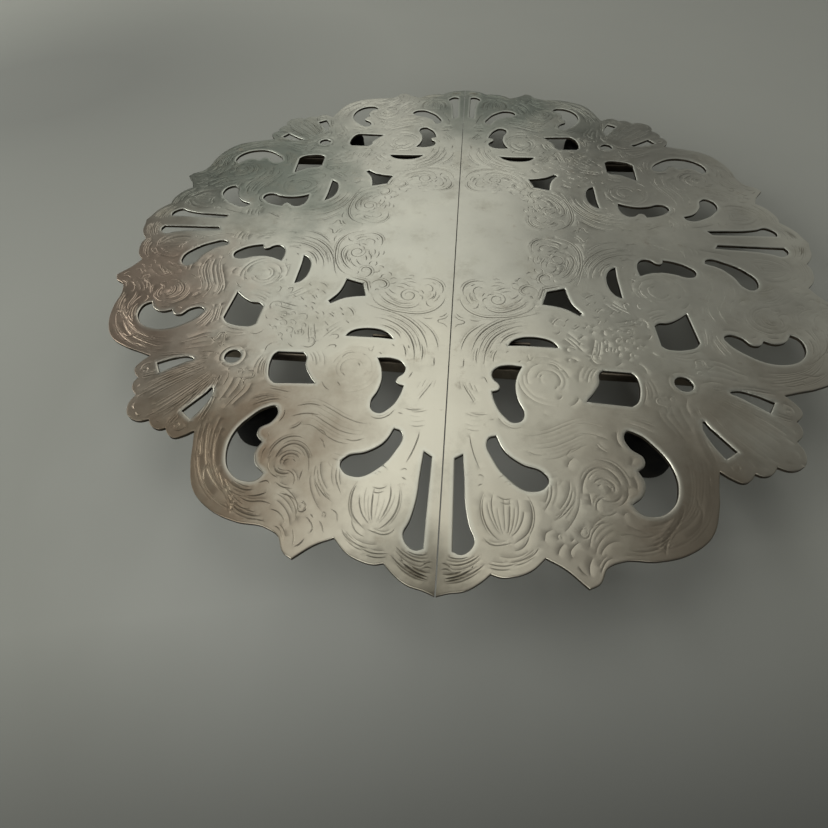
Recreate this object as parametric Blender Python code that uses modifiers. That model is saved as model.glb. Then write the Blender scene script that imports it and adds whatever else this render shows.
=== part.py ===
"""Extending pierced trivet (hot-plate stand), closed.

A thin pierced plate, cut in two halves along the Y axis, stands on four black feet.
Under each half, two slotted channels run along X. A flat bar slides in each pair of
channels, so the halves draw apart along X and stay joined.

Frame: metres, +Z up, X = the way the halves draw apart, Y = the seam between them.
The origin is on the surface that the feet stand on, under the middle of the plate.
The plate's pattern has four lobes (+-X and +-Y) and a scallop shell on each diagonal.
One eighth of it is drawn, and the other seven are its mirror images.
"""
import math

import bmesh
import bpy

MM = 0.001

# ---- driving dimensions, in millimetres --------------------------------------------
PLATE_THICK = 1.1
PLATE_TOP = 18.0                 # height of the upper face above the surface it stands on
PLATE_UNDER = PLATE_TOP - PLATE_THICK
FIT_GAP = 0.3                    # clearance between pieces that touch
SEAM_HALF_GAP = 0.15

CHANNEL_Y = 52.0                 # centre line of a channel, either side of the middle
CHANNEL_WIDTH = 8.0
CHANNEL_HEIGHT = 3.6
CHANNEL_WALL = 0.6
CHANNEL_START = 1.0              # inner end, from the seam
CHANNEL_END = 69.5               # outer end
SLOT_WIDTH = 3.0
SLOT_START = 6.0                 # the channel's floor is closed from its inner end to here

BAR_HALF_LENGTH = 66.0
BAR_CORNER = 1.2
PIN_X = 62.0                     # stop pin at each end of a bar
PIN_RADIUS = 0.9
PIN_HEAD_RADIUS = 1.2
PIN_HEAD_BELOW = 0.45            # from the bar's underside down to the pin's head

STRAP_START = 8.0                # strap folded round each channel near the seam
STRAP_END = 22.0
STRAP_THICK = 0.7

FOOT_X = 51.2
FOOT_Y = 69.2
FOOT_RADIUS = 7.0
FOOT_BORE = 2.0
RECESS_RADIUS = 4.2              # in the foot's underside, for the washer and screw head
RECESS_DEPTH = 5.0
BOSS_RADIUS = 4.5
BOSS_THICK = 1.8
BOSS_BORE = 1.75
WASHER_RADIUS = 3.8
WASHER_THICK = 0.6
SCREW_RADIUS = 1.45
SCREW_HEAD_RADIUS = 2.9
SCREW_HEAD_THICK = 1.9
DRIVE_SLOT = 0.8                 # width of the slot in the screw's head
DRIVE_DEPTH = 0.9

TURN_STEPS = 24                  # facets of a turned piece
HOLE_STEPS = 12                  # facets of a small round hole
CORNER_STEPS = 3                 # facets of a rounded corner of a bar
CURVE_STEPS = 2                  # straight pieces between two points of an outline
CURVE_PULL = 0.36                # how far a curve's handles reach, as a share of its chord
CUT_PAST = 5.0                   # how far a cutter runs past the piece it cuts

# ---- the plate's pattern: one eighth, in millimetres --------------------------------
# Each point is (u, v, kind): u is the distance from the lobe's axis and v the distance
# outward from the centre. kind is "c" for a corner and "s" where the edge runs smooth.
TULIP = [(4.5, 82.7, "c"), (2.6, 83.9, "c"), (2.75, 92.0, "s"), (2.95, 104.0, "c"),
         (4.5, 104.5, "s"), (6.4, 103.5, "s"), (7.3, 101.7, "s"), (6.3, 99.0, "s"),
         (5.4, 95.0, "s"), (4.9, 88.0, "s")]
BANANA = [(12.1, 77.3, "c"), (10.4, 78.0, "s"), (9.9, 79.3, "s"), (11.2, 83.2, "s"),
          (14.4, 87.6, "s"), (19.4, 90.2, "s"), (22.4, 89.1, "s"), (23.3, 87.0, "s"),
          (22.2, 85.5, "s"), (17.7, 83.9, "s"), (13.8, 80.9, "s")]
KIDNEY = [(19.1, 56.5, "c"), (15.0, 56.4, "s"), (12.5, 57.4, "s"), (11.3, 59.4, "s"),
          (11.8, 61.3, "s"), (13.0, 62.5, "s"), (13.3, 63.7, "s"), (12.6, 64.5, "s"),
          (11.2, 64.9, "c"), (11.9, 67.9, "s"), (14.0, 71.8, "s"), (16.4, 73.5, "s"),
          (18.4, 72.6, "s"), (18.9, 70.6, "s"), (17.6, 66.8, "s"), (17.1, 63.0, "s"),
          (17.8, 59.4, "s")]
HALF_MOON = [(29.2, 49.4, "c"), (28.6, 48.2, "s"), (27.1, 47.0, "s"), (24.9, 46.3, "s"),
             (22.4, 46.1, "s"), (19.0, 46.7, "s"), (16.7, 48.2, "s"), (15.7, 49.7, "c"),
             (19.5, 49.4, "s"), (25.5, 49.4, "s")]
WINDOW = [(46.8, 56.4, "c"), (39.7, 56.2, "c"), (38.7, 57.2, "s"), (38.2, 60.2, "s"),
          (36.4, 63.4, "s"), (34.2, 66.1, "c"), (45.0, 66.7, "c"), (46.4, 65.6, "s"),
          (47.7, 62.4, "s"), (48.0, 59.4, "s"), (47.7, 57.5, "s")]
SHELL_SLOT = [(60.6, 69.4, "s"), (61.7, 71.0, "s"), (65.9, 76.9, "c"), (62.8, 79.0, "c"),
              (60.9, 75.2, "s"), (60.1, 70.6, "s")]
CRESCENT = [(42.4, 73.6, "s"), (41.5, 75.0, "s"), (42.3, 78.0, "s"), (44.9, 80.4, "s"),
            (44.8, 81.8, "s"), (43.0, 83.5, "c"), (43.9, 85.8, "s"), (43.2, 88.7, "s"),
            (40.3, 91.2, "c"), (41.4, 92.8, "s"), (44.6, 93.3, "s"), (48.2, 91.4, "s"),
            (50.7, 86.5, "s"), (50.5, 81.6, "s"), (48.0, 77.2, "s"), (44.8, 74.2, "s")]
# half of the star on the diagonal, from its inner corner to its long tip
HALF_STAR = [(27.9, 27.9, "c"), (27.2, 30.2, "s"), (26.2, 33.3, "c"), (29.6, 33.8, "s"),
             (32.6, 34.7, "s"), (36.2, 37.1, "c")]
ROUND_HOLE_AT = 58.95            # on the diagonal, the same distance from both axes
ROUND_HOLE_RADIUS = 2.25
# the outer edge, from the lobe's tip to the middle of the shell on the diagonal
EDGE = [(0.0, 112.4, "c"), (2.6, 111.6, "s"), (5.5, 111.0, "s"), (8.6, 109.2, "s"),
        (10.6, 107.5, "c"), (12.4, 107.9, "s"), (15.2, 107.5, "s"), (18.6, 106.1, "s"),
        (21.4, 103.6, "c"), (24.6, 105.0, "s"), (29.2, 108.4, "c"), (31.2, 107.4, "s"),
        (33.2, 104.3, "s"), (36.4, 102.8, "s"), (43.0, 102.2, "s"), (50.0, 100.0, "s"),
        (54.5, 96.8, "s"), (57.8, 90.8, "s"), (59.4, 85.5, "s"), (60.5, 82.0, "c"),
        (62.6, 83.5, "s"), (65.0, 84.3, "s"), (66.9, 83.2, "s"), (67.9, 81.9, "c"),
        (69.3, 82.4, "s"), (70.9, 82.1, "s"), (72.2, 81.2, "s"), (73.2, 79.9, "c"),
        (75.6, 80.6, "s"), (78.0, 80.0, "s"), (79.2, 79.2, "s")]

# sub-part materials: name: (colour, roughness, metallic)
MATERIALS = {
    "silver_plate": ((0.60, 0.58, 0.50, 1.0), 0.32, 1.0),
    "tarnished_steel": ((0.26, 0.22, 0.18, 1.0), 0.45, 1.0),
    "bright_steel": ((0.46, 0.45, 0.42, 1.0), 0.35, 1.0),
    "black_plastic": ((0.015, 0.015, 0.015, 1.0), 0.55, 0.0),
}


# ---- helpers -----------------------------------------------------------------------
def clear_scene():
    for obj in list(bpy.data.objects):
        bpy.data.objects.remove(obj, do_unlink=True)


def make_collection(name):
    collection = bpy.data.collections.new(name)
    bpy.context.scene.collection.children.link(collection)
    return collection


def make_material(name):
    colour, roughness, metallic = MATERIALS[name]
    material = bpy.data.materials.new(name)
    material.use_nodes = True
    shader = material.node_tree.nodes["Principled BSDF"]
    shader.inputs["Base Color"].default_value = colour
    shader.inputs["Roughness"].default_value = roughness
    shader.inputs["Metallic"].default_value = metallic
    return material


def finish_object(name, data, collection, material_name):
    """Wrap mesh or curve data in an object with a material of its own."""
    obj = bpy.data.objects.new(name, data)
    collection.objects.link(obj)
    material = make_material(material_name)
    material.name = name + "_" + material_name
    data.materials.append(material)
    return obj


def add_empty(name, location, collection):
    """The empty that the pieces of one moving body are parented to."""
    empty = bpy.data.objects.new(name, None)
    empty.location = [value * MM for value in location]
    empty.empty_display_size = 0.02
    collection.objects.link(empty)
    return empty


def attach(body, *pieces):
    """Parent pieces to a body's empty without moving them."""
    bpy.context.view_layer.update()
    for piece in pieces:
        piece.parent = body
        piece.matrix_parent_inverse = body.matrix_world.inverted()


def add_box(name, low, high, collection, material_name):
    """A box between two corners given in millimetres."""
    mesh = bpy.data.meshes.new(name)
    bm = bmesh.new()
    bmesh.ops.create_cube(bm, size=1.0)
    for vert in bm.verts:
        for axis in range(3):
            vert.co[axis] = (low[axis] + (vert.co[axis] + 0.5) * (high[axis] - low[axis])) * MM
    bm.to_mesh(mesh)
    bm.free()
    return finish_object(name, mesh, collection, material_name)


def cut(obj, cutter):
    """Take one cutter away from an object with an exact Boolean."""
    cutter.hide_render = True
    cutter.display_type = "WIRE"
    modifier = obj.modifiers.new("cut_" + cutter.name, "BOOLEAN")
    modifier.operation = "DIFFERENCE"
    modifier.object = cutter


def add_hole_cutter(name, radius, low, high, place, collection, material_name):
    """An upright cylinder between two heights, in millimetres."""
    mesh = bpy.data.meshes.new(name)
    bm = bmesh.new()
    bmesh.ops.create_cone(bm, cap_ends=True, segments=HOLE_STEPS, radius1=radius * MM,
                          radius2=radius * MM, depth=(high - low) * MM)
    bm.to_mesh(mesh)
    bm.free()
    obj = finish_object(name, mesh, collection, material_name)
    obj.location = (place[0] * MM, place[1] * MM, (low + high) / 2 * MM)
    return obj


def add_turned(name, profile, location, collection, material_name):
    """Turn a closed (radius, height) profile, in millimetres, about its own Z axis."""
    mesh = bpy.data.meshes.new(name)
    bm = bmesh.new()
    verts = [bm.verts.new((radius * MM, 0.0, height * MM)) for radius, height in profile]
    on_axis = profile[0][0] == 0.0 and profile[-1][0] == 0.0
    for first, second in zip(verts, verts[1:]):
        bm.edges.new((first, second))
    if not on_axis:
        bm.edges.new((verts[-1], verts[0]))
    bm.to_mesh(mesh)
    bm.free()
    obj = finish_object(name, mesh, collection, material_name)
    obj.location = [value * MM for value in location]
    screw = obj.modifiers.new("turn", "SCREW")
    screw.steps = TURN_STEPS
    screw.render_steps = TURN_STEPS
    screw.use_merge_vertices = True
    screw.merge_threshold = 0.00001
    screw.use_smooth_shade = True
    return obj


# ---- outlines ----------------------------------------------------------------------
def direction(points, index, closed):
    """Unit tangent at a smooth point, or None at a corner or at an open end."""
    count = len(points)
    if points[index][2] == "c" or (not closed and index in (0, count - 1)):
        return None
    before = points[(index - 1) % count]
    here = points[index]
    after = points[(index + 1) % count]
    in_x, in_y = here[0] - before[0], here[1] - before[1]
    out_x, out_y = after[0] - here[0], after[1] - here[1]
    ratio = math.hypot(out_x, out_y) / math.hypot(in_x, in_y)
    x, y = in_x * ratio + out_x / ratio, in_y * ratio + out_y / ratio
    size = math.hypot(x, y)
    return (x / size, y / size)


def smooth_outline(points, closed=True):
    """Cubic curves through the points, straight into each corner."""
    count = len(points)
    result = []
    for index in range(count if closed else count - 1):
        following = (index + 1) % count
        ax, ay = points[index][:2]
        bx, by = points[following][:2]
        length = math.hypot(bx - ax, by - ay)
        chord = ((bx - ax) / length, (by - ay) / length)
        leave = direction(points, index, closed) or chord
        arrive = direction(points, following, closed) or chord
        pull = CURVE_PULL * length
        controls = ((ax, ay), (ax + leave[0] * pull, ay + leave[1] * pull),
                    (bx - arrive[0] * pull, by - arrive[1] * pull), (bx, by))
        for step in range(CURVE_STEPS):
            t = step / CURVE_STEPS
            weights = ((1 - t) ** 3, 3 * t * (1 - t) ** 2, 3 * t * t * (1 - t), t ** 3)
            result.append(tuple(sum(w * p[axis] for w, p in zip(weights, controls))
                                for axis in (0, 1)))
    if not closed:
        result.append(tuple(points[-1][:2]))
    return result


def across_diagonal(points):
    return [(v, u) for u, v in points]


def quarter_holes():
    """All the holes of one quarter of the plate, with both coordinates positive."""
    holes = []
    for outline in (TULIP, BANANA, KIDNEY, HALF_MOON, WINDOW, SHELL_SLOT, CRESCENT):
        hole = smooth_outline(outline)
        holes.append(hole)
        holes.append(across_diagonal(hole))
    half = smooth_outline(HALF_STAR, closed=False)
    holes.append(half + across_diagonal(half[1:])[::-1])
    turns = [2 * math.pi * step / HOLE_STEPS for step in range(HOLE_STEPS)]
    holes.append([(ROUND_HOLE_AT + ROUND_HOLE_RADIUS * math.cos(turn),
                   ROUND_HOLE_AT + ROUND_HOLE_RADIUS * math.sin(turn)) for turn in turns])
    return holes


def quarter_edge():
    """The outer edge from the lobe on +Y round to the lobe on +X."""
    half = smooth_outline(EDGE, closed=False)
    return half + across_diagonal(half[:-1])[::-1]


def add_half_plate(name, side, collection):
    """One half plate: side is +1 for +X and -1 for -X. The seam edge is straight."""
    edge = [(max(x, SEAM_HALF_GAP), y) for x, y in quarter_edge()]
    outlines = [edge + [(x, -y) for x, y in edge[-2::-1]]]
    for hole in quarter_holes():
        outlines.append(hole)
        outlines.append([(x, -y) for x, y in hole])
    curve = bpy.data.curves.new(name, "CURVE")
    curve.dimensions = "2D"
    curve.fill_mode = "BOTH"
    curve.extrude = PLATE_THICK / 2 * MM
    curve.resolution_u = 1
    curve.render_resolution_u = 0
    for outline in outlines:
        spline = curve.splines.new("POLY")
        spline.points.add(len(outline) - 1)
        for point, (x, y) in zip(spline.points, outline):
            point.co = (side * x * MM, y * MM, 0.0, 1.0)
        spline.use_cyclic_u = True
    obj = finish_object(name, curve, collection, "silver_plate")
    obj.location.z = (PLATE_TOP - PLATE_THICK / 2) * MM
    return obj


# ---- slide mechanism ---------------------------------------------------------------
CHANNEL_TOP = PLATE_UNDER - FIT_GAP
CHANNEL_FLOOR = CHANNEL_TOP - CHANNEL_HEIGHT
BAR_TOP = CHANNEL_TOP - CHANNEL_WALL - FIT_GAP
BAR_BOTTOM = CHANNEL_FLOOR + CHANNEL_WALL + FIT_GAP
BAR_WIDTH = CHANNEL_WIDTH - 2 * (CHANNEL_WALL + FIT_GAP)


def ordered(first, second):
    return (min(first, second), max(first, second))


def add_channel(name, side, row, collection, cutters):
    """A rectangular tube along X, with a slot in its floor from SLOT_START outward."""
    x_low, x_high = ordered(side * CHANNEL_START, side * CHANNEL_END)
    centre = row * CHANNEL_Y
    half = CHANNEL_WIDTH / 2
    channel = add_box(name, (x_low, centre - half, CHANNEL_FLOOR),
                      (x_high, centre + half, CHANNEL_TOP), collection, "tarnished_steel")
    inner = half - CHANNEL_WALL
    bore = add_box(name + "_bore", (x_low - CUT_PAST, centre - inner, CHANNEL_FLOOR + CHANNEL_WALL),
                   (x_high + CUT_PAST, centre + inner, CHANNEL_TOP - CHANNEL_WALL),
                   cutters, "tarnished_steel")
    slot_low, slot_high = ordered(side * SLOT_START, side * (CHANNEL_END + CUT_PAST))
    slot = add_box(name + "_slot",
                   (slot_low, centre - SLOT_WIDTH / 2, CHANNEL_FLOOR - CUT_PAST),
                   (slot_high, centre + SLOT_WIDTH / 2, CHANNEL_FLOOR + 1.5 * CHANNEL_WALL),
                   cutters, "tarnished_steel")
    cut(channel, bore)
    cut(channel, slot)
    return channel


def add_strap(name, side, row, collection, cutters):
    """A strap folded round the outside of a channel near the seam."""
    x_low, x_high = ordered(side * STRAP_START, side * STRAP_END)
    centre = row * CHANNEL_Y
    inner = CHANNEL_WIDTH / 2 + FIT_GAP
    outer = inner + STRAP_THICK
    inner_floor = CHANNEL_FLOOR - FIT_GAP
    strap = add_box(name, (x_low, centre - outer, inner_floor - STRAP_THICK),
                    (x_high, centre + outer, CHANNEL_TOP), collection, "tarnished_steel")
    hollow = add_box(name + "_hollow", (x_low - CUT_PAST, centre - inner, inner_floor),
                     (x_high + CUT_PAST, centre + inner, CHANNEL_TOP + CUT_PAST),
                     cutters, "tarnished_steel")
    cut(strap, hollow)
    return strap


def add_bar(name, row, collection, cutters):
    """A flat bar with rounded corners that slides in the two channels of one row."""
    centre = row * CHANNEL_Y
    half = BAR_WIDTH / 2
    corners = ((1, 1), (-1, 1), (-1, -1), (1, -1))
    outline = []
    for index, (sx, sy) in enumerate(corners):
        for step in range(CORNER_STEPS + 1):
            angle = math.radians(90 * (index + step / CORNER_STEPS))
            outline.append((sx * (BAR_HALF_LENGTH - BAR_CORNER) + BAR_CORNER * math.cos(angle),
                            sy * (half - BAR_CORNER) + BAR_CORNER * math.sin(angle)))
    curve = bpy.data.curves.new(name, "CURVE")
    curve.dimensions = "2D"
    curve.fill_mode = "BOTH"
    curve.extrude = (BAR_TOP - BAR_BOTTOM) / 2 * MM
    curve.resolution_u = 1
    curve.render_resolution_u = 0
    spline = curve.splines.new("POLY")
    spline.points.add(len(outline) - 1)
    for point, (x, y) in zip(spline.points, outline):
        point.co = (x * MM, y * MM, 0.0, 1.0)
    spline.use_cyclic_u = True
    guide = finish_object(name + "_outline", curve, collection, "bright_steel")
    guide.location = (0.0, centre * MM, (BAR_TOP + BAR_BOTTOM) / 2 * MM)
    bar = curve_to_mesh(guide, name, collection, "bright_steel")
    for end in (-1, 1):
        hole = add_hole_cutter("%s_hole_%s" % (name, "left" if end < 0 else "right"),
                               PIN_RADIUS + FIT_GAP, BAR_BOTTOM - CUT_PAST, BAR_TOP + CUT_PAST,
                               (end * PIN_X, centre), cutters, "bright_steel")
        cut(bar, hole)
    return bar


def curve_to_mesh(curve_object, name, collection, material_name):
    """Replace a curve object by a welded mesh object at the same place."""
    bpy.context.view_layer.update()
    graph = bpy.context.evaluated_depsgraph_get()
    mesh = bpy.data.meshes.new_from_object(curve_object.evaluated_get(graph))
    mesh.name = name
    mesh.materials.clear()
    bm = bmesh.new()
    bm.from_mesh(mesh)
    bmesh.ops.remove_doubles(bm, verts=bm.verts, dist=0.000001)
    bm.to_mesh(mesh)
    bm.free()
    obj = finish_object(name, mesh, collection, material_name)
    obj.matrix_world = curve_object.matrix_world
    bpy.data.objects.remove(curve_object, do_unlink=True)
    return obj


def add_stop_pin(name, end, row, collection):
    """A pin through the bar's end, whose tip runs in the slot in the channel's floor."""
    shoulder = BAR_BOTTOM - PIN_HEAD_BELOW
    profile = [(0.0, BAR_TOP), (PIN_RADIUS, BAR_TOP), (PIN_RADIUS, shoulder),
               (PIN_HEAD_RADIUS, shoulder), (PIN_HEAD_RADIUS, CHANNEL_FLOOR),
               (0.0, CHANNEL_FLOOR)]
    return add_turned(name, profile, (end * PIN_X, row * CHANNEL_Y, 0.0),
                      collection, "bright_steel")


# ---- feet --------------------------------------------------------------------------
BOSS_TOP = PLATE_UNDER - FIT_GAP
BOSS_BOTTOM = BOSS_TOP - BOSS_THICK
FOOT_TOP = BOSS_BOTTOM - FIT_GAP
WASHER_TOP = RECESS_DEPTH - FIT_GAP
WASHER_BOTTOM = WASHER_TOP - WASHER_THICK
SCREW_HEAD_TOP = WASHER_BOTTOM - FIT_GAP
SCREW_HEAD_BOTTOM = SCREW_HEAD_TOP - SCREW_HEAD_THICK
SCREW_TIP = BOSS_TOP - 0.2
EDGE_BREAK = 0.4                 # chamfer on the boss and the screw's tip
FOOT_CHAMFER = 0.8


def add_foot_set(corner, side, row, collection, cutters):
    """Boss under the plate, foot, washer and screw at one corner."""
    place = (side * FOOT_X, row * FOOT_Y, 0.0)
    boss = [(BOSS_BORE, BOSS_TOP), (BOSS_RADIUS, BOSS_TOP),
            (BOSS_RADIUS, BOSS_BOTTOM + EDGE_BREAK), (BOSS_RADIUS - EDGE_BREAK, BOSS_BOTTOM),
            (BOSS_BORE, BOSS_BOTTOM)]
    boss_object = add_turned(corner + "_foot_boss", boss, place, collection, "tarnished_steel")
    foot = [(FOOT_BORE, FOOT_TOP), (FOOT_RADIUS - FOOT_CHAMFER, FOOT_TOP),
            (FOOT_RADIUS, FOOT_TOP - FOOT_CHAMFER),
            (FOOT_RADIUS, 1.0), (FOOT_RADIUS - 0.3, 0.3), (FOOT_RADIUS - 1.0, 0.0),
            (RECESS_RADIUS, 0.0), (RECESS_RADIUS, RECESS_DEPTH), (FOOT_BORE, RECESS_DEPTH)]
    foot_object = add_turned(corner + "_foot", foot, place, collection, "black_plastic")
    washer = [(BOSS_BORE, WASHER_TOP), (WASHER_RADIUS, WASHER_TOP),
              (WASHER_RADIUS, WASHER_BOTTOM), (BOSS_BORE, WASHER_BOTTOM)]
    washer_object = add_turned(corner + "_foot_washer", washer, place, collection,
                               "bright_steel")
    screw = [(0.0, SCREW_TIP), (SCREW_RADIUS - EDGE_BREAK, SCREW_TIP),
             (SCREW_RADIUS, SCREW_TIP - EDGE_BREAK),
             (SCREW_RADIUS, SCREW_HEAD_TOP), (SCREW_HEAD_RADIUS, SCREW_HEAD_TOP),
             (SCREW_HEAD_RADIUS, SCREW_HEAD_BOTTOM + 0.7),
             (SCREW_HEAD_RADIUS - 0.8, SCREW_HEAD_BOTTOM), (0.0, SCREW_HEAD_BOTTOM)]
    screw_object = add_turned(corner + "_foot_screw", screw, place, collection, "bright_steel")
    drive = add_box(corner + "_drive_slot",
                    (place[0] - CUT_PAST, place[1] - DRIVE_SLOT / 2,
                     SCREW_HEAD_BOTTOM - CUT_PAST),
                    (place[0] + CUT_PAST, place[1] + DRIVE_SLOT / 2,
                     SCREW_HEAD_BOTTOM + DRIVE_DEPTH), cutters, "bright_steel")
    cut(screw_object, drive)
    return boss_object, foot_object, washer_object, screw_object


def main():
    clear_scene()
    parts = make_collection("extending_trivet")
    cutters = make_collection("cutters")
    rows = (("front", -1), ("rear", 1))
    sides = (("left", -1), ("right", 1))
    for side_name, side in sides:
        half = add_empty(side_name + "_half", (0.0, 0.0, 0.0), parts)
        attach(half, add_half_plate(side_name + "_plate", side, parts))
        for row_name, row in rows:
            corner = row_name + "_" + side_name
            attach(half, add_channel(corner + "_channel", side, row, parts, cutters))
            attach(half, add_strap(corner + "_channel_strap", side, row, parts, cutters))
            attach(half, *add_foot_set(corner, side, row, parts, cutters))
    for row_name, row in rows:
        on_axis = (0.0, row * CHANNEL_Y, (BAR_TOP + BAR_BOTTOM) / 2)
        slider = add_empty(row_name + "_bar", on_axis, parts)
        attach(slider, add_bar(row_name + "_slide_bar", row, parts, cutters))
        for end_name, end in sides:
            pin_name = "%s_%s_stop_pin" % (row_name, end_name)
            attach(slider, add_stop_pin(pin_name, end, row, parts))


main()
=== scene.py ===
"""Looks of the extending trivet: engraved half plates, rolled channels, feet and floor.

All shapes are drawn in millimetres and turned to metres when a mesh is made. The plate's
pattern repeats eight times, so one eighth is drawn: (u, v), where u is the distance from
a lobe's axis and v the distance outward from the centre. The rest is mirrored.
"""

import math

import bmesh
import bpy
import numpy as np
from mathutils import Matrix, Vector
from mathutils.geometry import delaunay_2d_cdt


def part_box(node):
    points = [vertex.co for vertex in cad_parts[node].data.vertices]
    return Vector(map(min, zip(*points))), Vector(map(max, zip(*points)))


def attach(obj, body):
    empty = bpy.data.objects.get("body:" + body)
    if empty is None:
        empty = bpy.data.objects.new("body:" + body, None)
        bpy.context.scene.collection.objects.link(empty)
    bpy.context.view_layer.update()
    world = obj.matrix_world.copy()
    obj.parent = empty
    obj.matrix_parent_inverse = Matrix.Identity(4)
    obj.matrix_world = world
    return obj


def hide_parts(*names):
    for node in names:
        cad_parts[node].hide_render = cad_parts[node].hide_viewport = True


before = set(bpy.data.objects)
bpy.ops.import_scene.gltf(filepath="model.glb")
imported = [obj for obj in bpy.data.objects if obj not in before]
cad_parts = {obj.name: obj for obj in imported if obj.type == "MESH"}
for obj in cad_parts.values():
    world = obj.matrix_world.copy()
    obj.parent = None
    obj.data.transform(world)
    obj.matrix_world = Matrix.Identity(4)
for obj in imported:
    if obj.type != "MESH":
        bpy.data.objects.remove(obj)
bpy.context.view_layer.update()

MM = 0.001

# ---- sizes taken from the frame --------------------------------------------------------
PLATE_LOW, PLATE_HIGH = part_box("right_plate")
PLATE_TOP = PLATE_HIGH.z / MM
PLATE_UNDER = PLATE_LOW.z / MM
SEAM = PLATE_LOW.x / MM                  # half the gap between the two halves

# ---- one eighth of the pierced pattern, as in the frame's plates -----------------------
# (u, v) is a smooth point and (u, v, "c") a corner
TULIP = [(4.5, 82.7, "c"), (2.6, 83.9, "c"), (2.75, 92.0), (2.95, 104.0, "c"), (4.5, 104.5),
         (6.4, 103.5), (7.3, 101.7), (6.3, 99.0), (5.4, 95.0), (4.9, 88.0)]
BANANA = [(12.1, 77.3, "c"), (10.4, 78.0), (9.9, 79.3), (11.2, 83.2), (14.4, 87.6), (19.4, 90.2),
          (22.4, 89.1), (23.3, 87.0), (22.2, 85.5), (17.7, 83.9), (13.8, 80.9)]
KIDNEY = [(19.1, 56.5, "c"), (15.0, 56.4), (12.5, 57.4), (11.3, 59.4), (11.8, 61.3),
          (13.0, 62.5), (13.3, 63.7), (12.6, 64.5), (11.2, 64.9, "c"), (11.9, 67.9),
          (14.0, 71.8), (16.4, 73.5), (18.4, 72.6), (18.9, 70.6), (17.6, 66.8), (17.1, 63.0),
          (17.8, 59.4)]
HALF_MOON = [(29.2, 49.4, "c"), (28.6, 48.2), (27.1, 47.0), (24.9, 46.3), (22.4, 46.1),
             (19.0, 46.7), (16.7, 48.2), (15.7, 49.7, "c"), (19.5, 49.4), (25.5, 49.4)]
WINDOW = [(46.8, 56.4, "c"), (39.7, 56.2, "c"), (38.7, 57.2), (38.2, 60.2), (36.4, 63.4),
          (34.2, 66.1, "c"), (45.0, 66.7, "c"), (46.4, 65.6), (47.7, 62.4), (48.0, 59.4),
          (47.7, 57.5)]
SHELL_SLOT = [(60.6, 69.4), (61.7, 71.0), (65.9, 76.9, "c"), (62.8, 79.0, "c"), (60.9, 75.2),
              (60.1, 70.6)]
CRESCENT = [(42.4, 73.6), (41.5, 75.0), (42.3, 78.0), (44.9, 80.4), (44.8, 81.8),
            (43.0, 83.5, "c"), (43.9, 85.8), (43.2, 88.7), (40.3, 91.2, "c"), (41.4, 92.8),
            (44.6, 93.3), (48.2, 91.4), (50.7, 86.5), (50.5, 81.6), (48.0, 77.2), (44.8, 74.2)]
HALF_STAR = [(27.9, 27.9, "c"), (27.2, 30.2), (26.2, 33.3, "c"), (29.6, 33.8), (32.6, 34.7),
             (36.2, 37.1, "c")]
STAR_TIP = 36.65                         # where the star's blunt tip crosses the diagonal
ROUND_HOLE_AT = 58.95
ROUND_HOLE_RADIUS = 2.25
EDGE = [(0.0, 112.4, "c"), (2.6, 111.6), (5.5, 111.0), (8.6, 109.2), (10.6, 107.5, "c"),
        (12.4, 107.9), (15.2, 107.5), (18.6, 106.1), (21.4, 103.6, "c"), (24.6, 105.0),
        (29.2, 108.4, "c"), (31.2, 107.4), (33.2, 104.3), (36.4, 102.8), (43.0, 102.2),
        (50.0, 100.0), (54.5, 96.8), (57.8, 90.8), (59.4, 85.5), (60.5, 82.0, "c"), (62.6, 83.5),
        (65.0, 84.3), (66.9, 83.2), (67.9, 81.9, "c"), (69.3, 82.4), (70.9, 82.1), (72.2, 81.2),
        (73.2, 79.9, "c"), (75.6, 80.6), (78.0, 80.0), (79.2, 79.2)]

CURVE_PULL = 0.36                        # reach of a curve's handles, as in the frame
OUTLINE_STEP = 0.7                       # longest straight piece of a fine outline
BORDER_STEP = 1.1                        # along the wedge's two straight borders
RIM_WIDTH = 0.2                          # rounded top edge of the sheet
RIM_DROP = 0.11
HOLE_RIM_WIDTH = 0.34                    # the edges of the holes are more worn
HOLE_RIM_DROP = 0.13
UNDER_RIM_WIDTH = 0.25
UNDER_RIM_DROP = 0.14
FILL_STEP = 1.6                          # spacing of points where nothing is engraved
UNDER_FILL_STEP = 9.0
ROW_RATIO = 0.866                        # rows of a triangular lattice, to its step
WEDGE_LENGTH = 115.0
WEDGE_WIDTH = 82.0
BORDER_GAP = 0.15                        # bare strip beside the wedge's straight borders
GROOVE_SPACING = 0.13                    # points of strokes closer than this are joined
RIDGE_SPACING = 0.3
STROKE_STEP = 0.55                       # longest straight piece of a groove
RIDGE_STEP = 0.8
TAPER = 0.3                              # share of a stroke that thins out, at each end
THIN_END = 0.35                          # width of a stroke's tapered end, as a share
SHALLOW_END = 0.25                       # and its depth
GROOVE_FULL = 0.06                       # depth at which a groove is darkest
CREASE = 13.0                            # a bend sharper than this, in degrees, stays crisp
UNEVEN = 0.045                           # gentle dents and swells of the worn sheet
WORN_AND_SHEEN_WIDTH = 1.2                         # lighter band round every hole: wear, and a painted highlight on its edges
LIP_HEIGHT = 0.02                        # a faint raised lip round every hole
LIP_AT = 0.75
LIP_SPREAD = 0.4
# where the engraving is rubbed shallow: centre, radius, share of the depth
WEAR = [((58.0, -84.0), 40.0, 0.75), ((98.0, -20.0), 42.0, 0.55), ((0.0, -96.0), 26.0, 0.1),
        ((-76.0, 32.0), 28.0, 0.4), ((85.0, 62.0), 40.0, 0.3)]


# ---- helpers ----------------------------------------------------------------------------
def link(name, data):
    """A new object in the scene that shows the data."""
    made = bpy.data.objects.new(name, data)
    bpy.context.scene.collection.objects.link(made)
    return made


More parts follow.
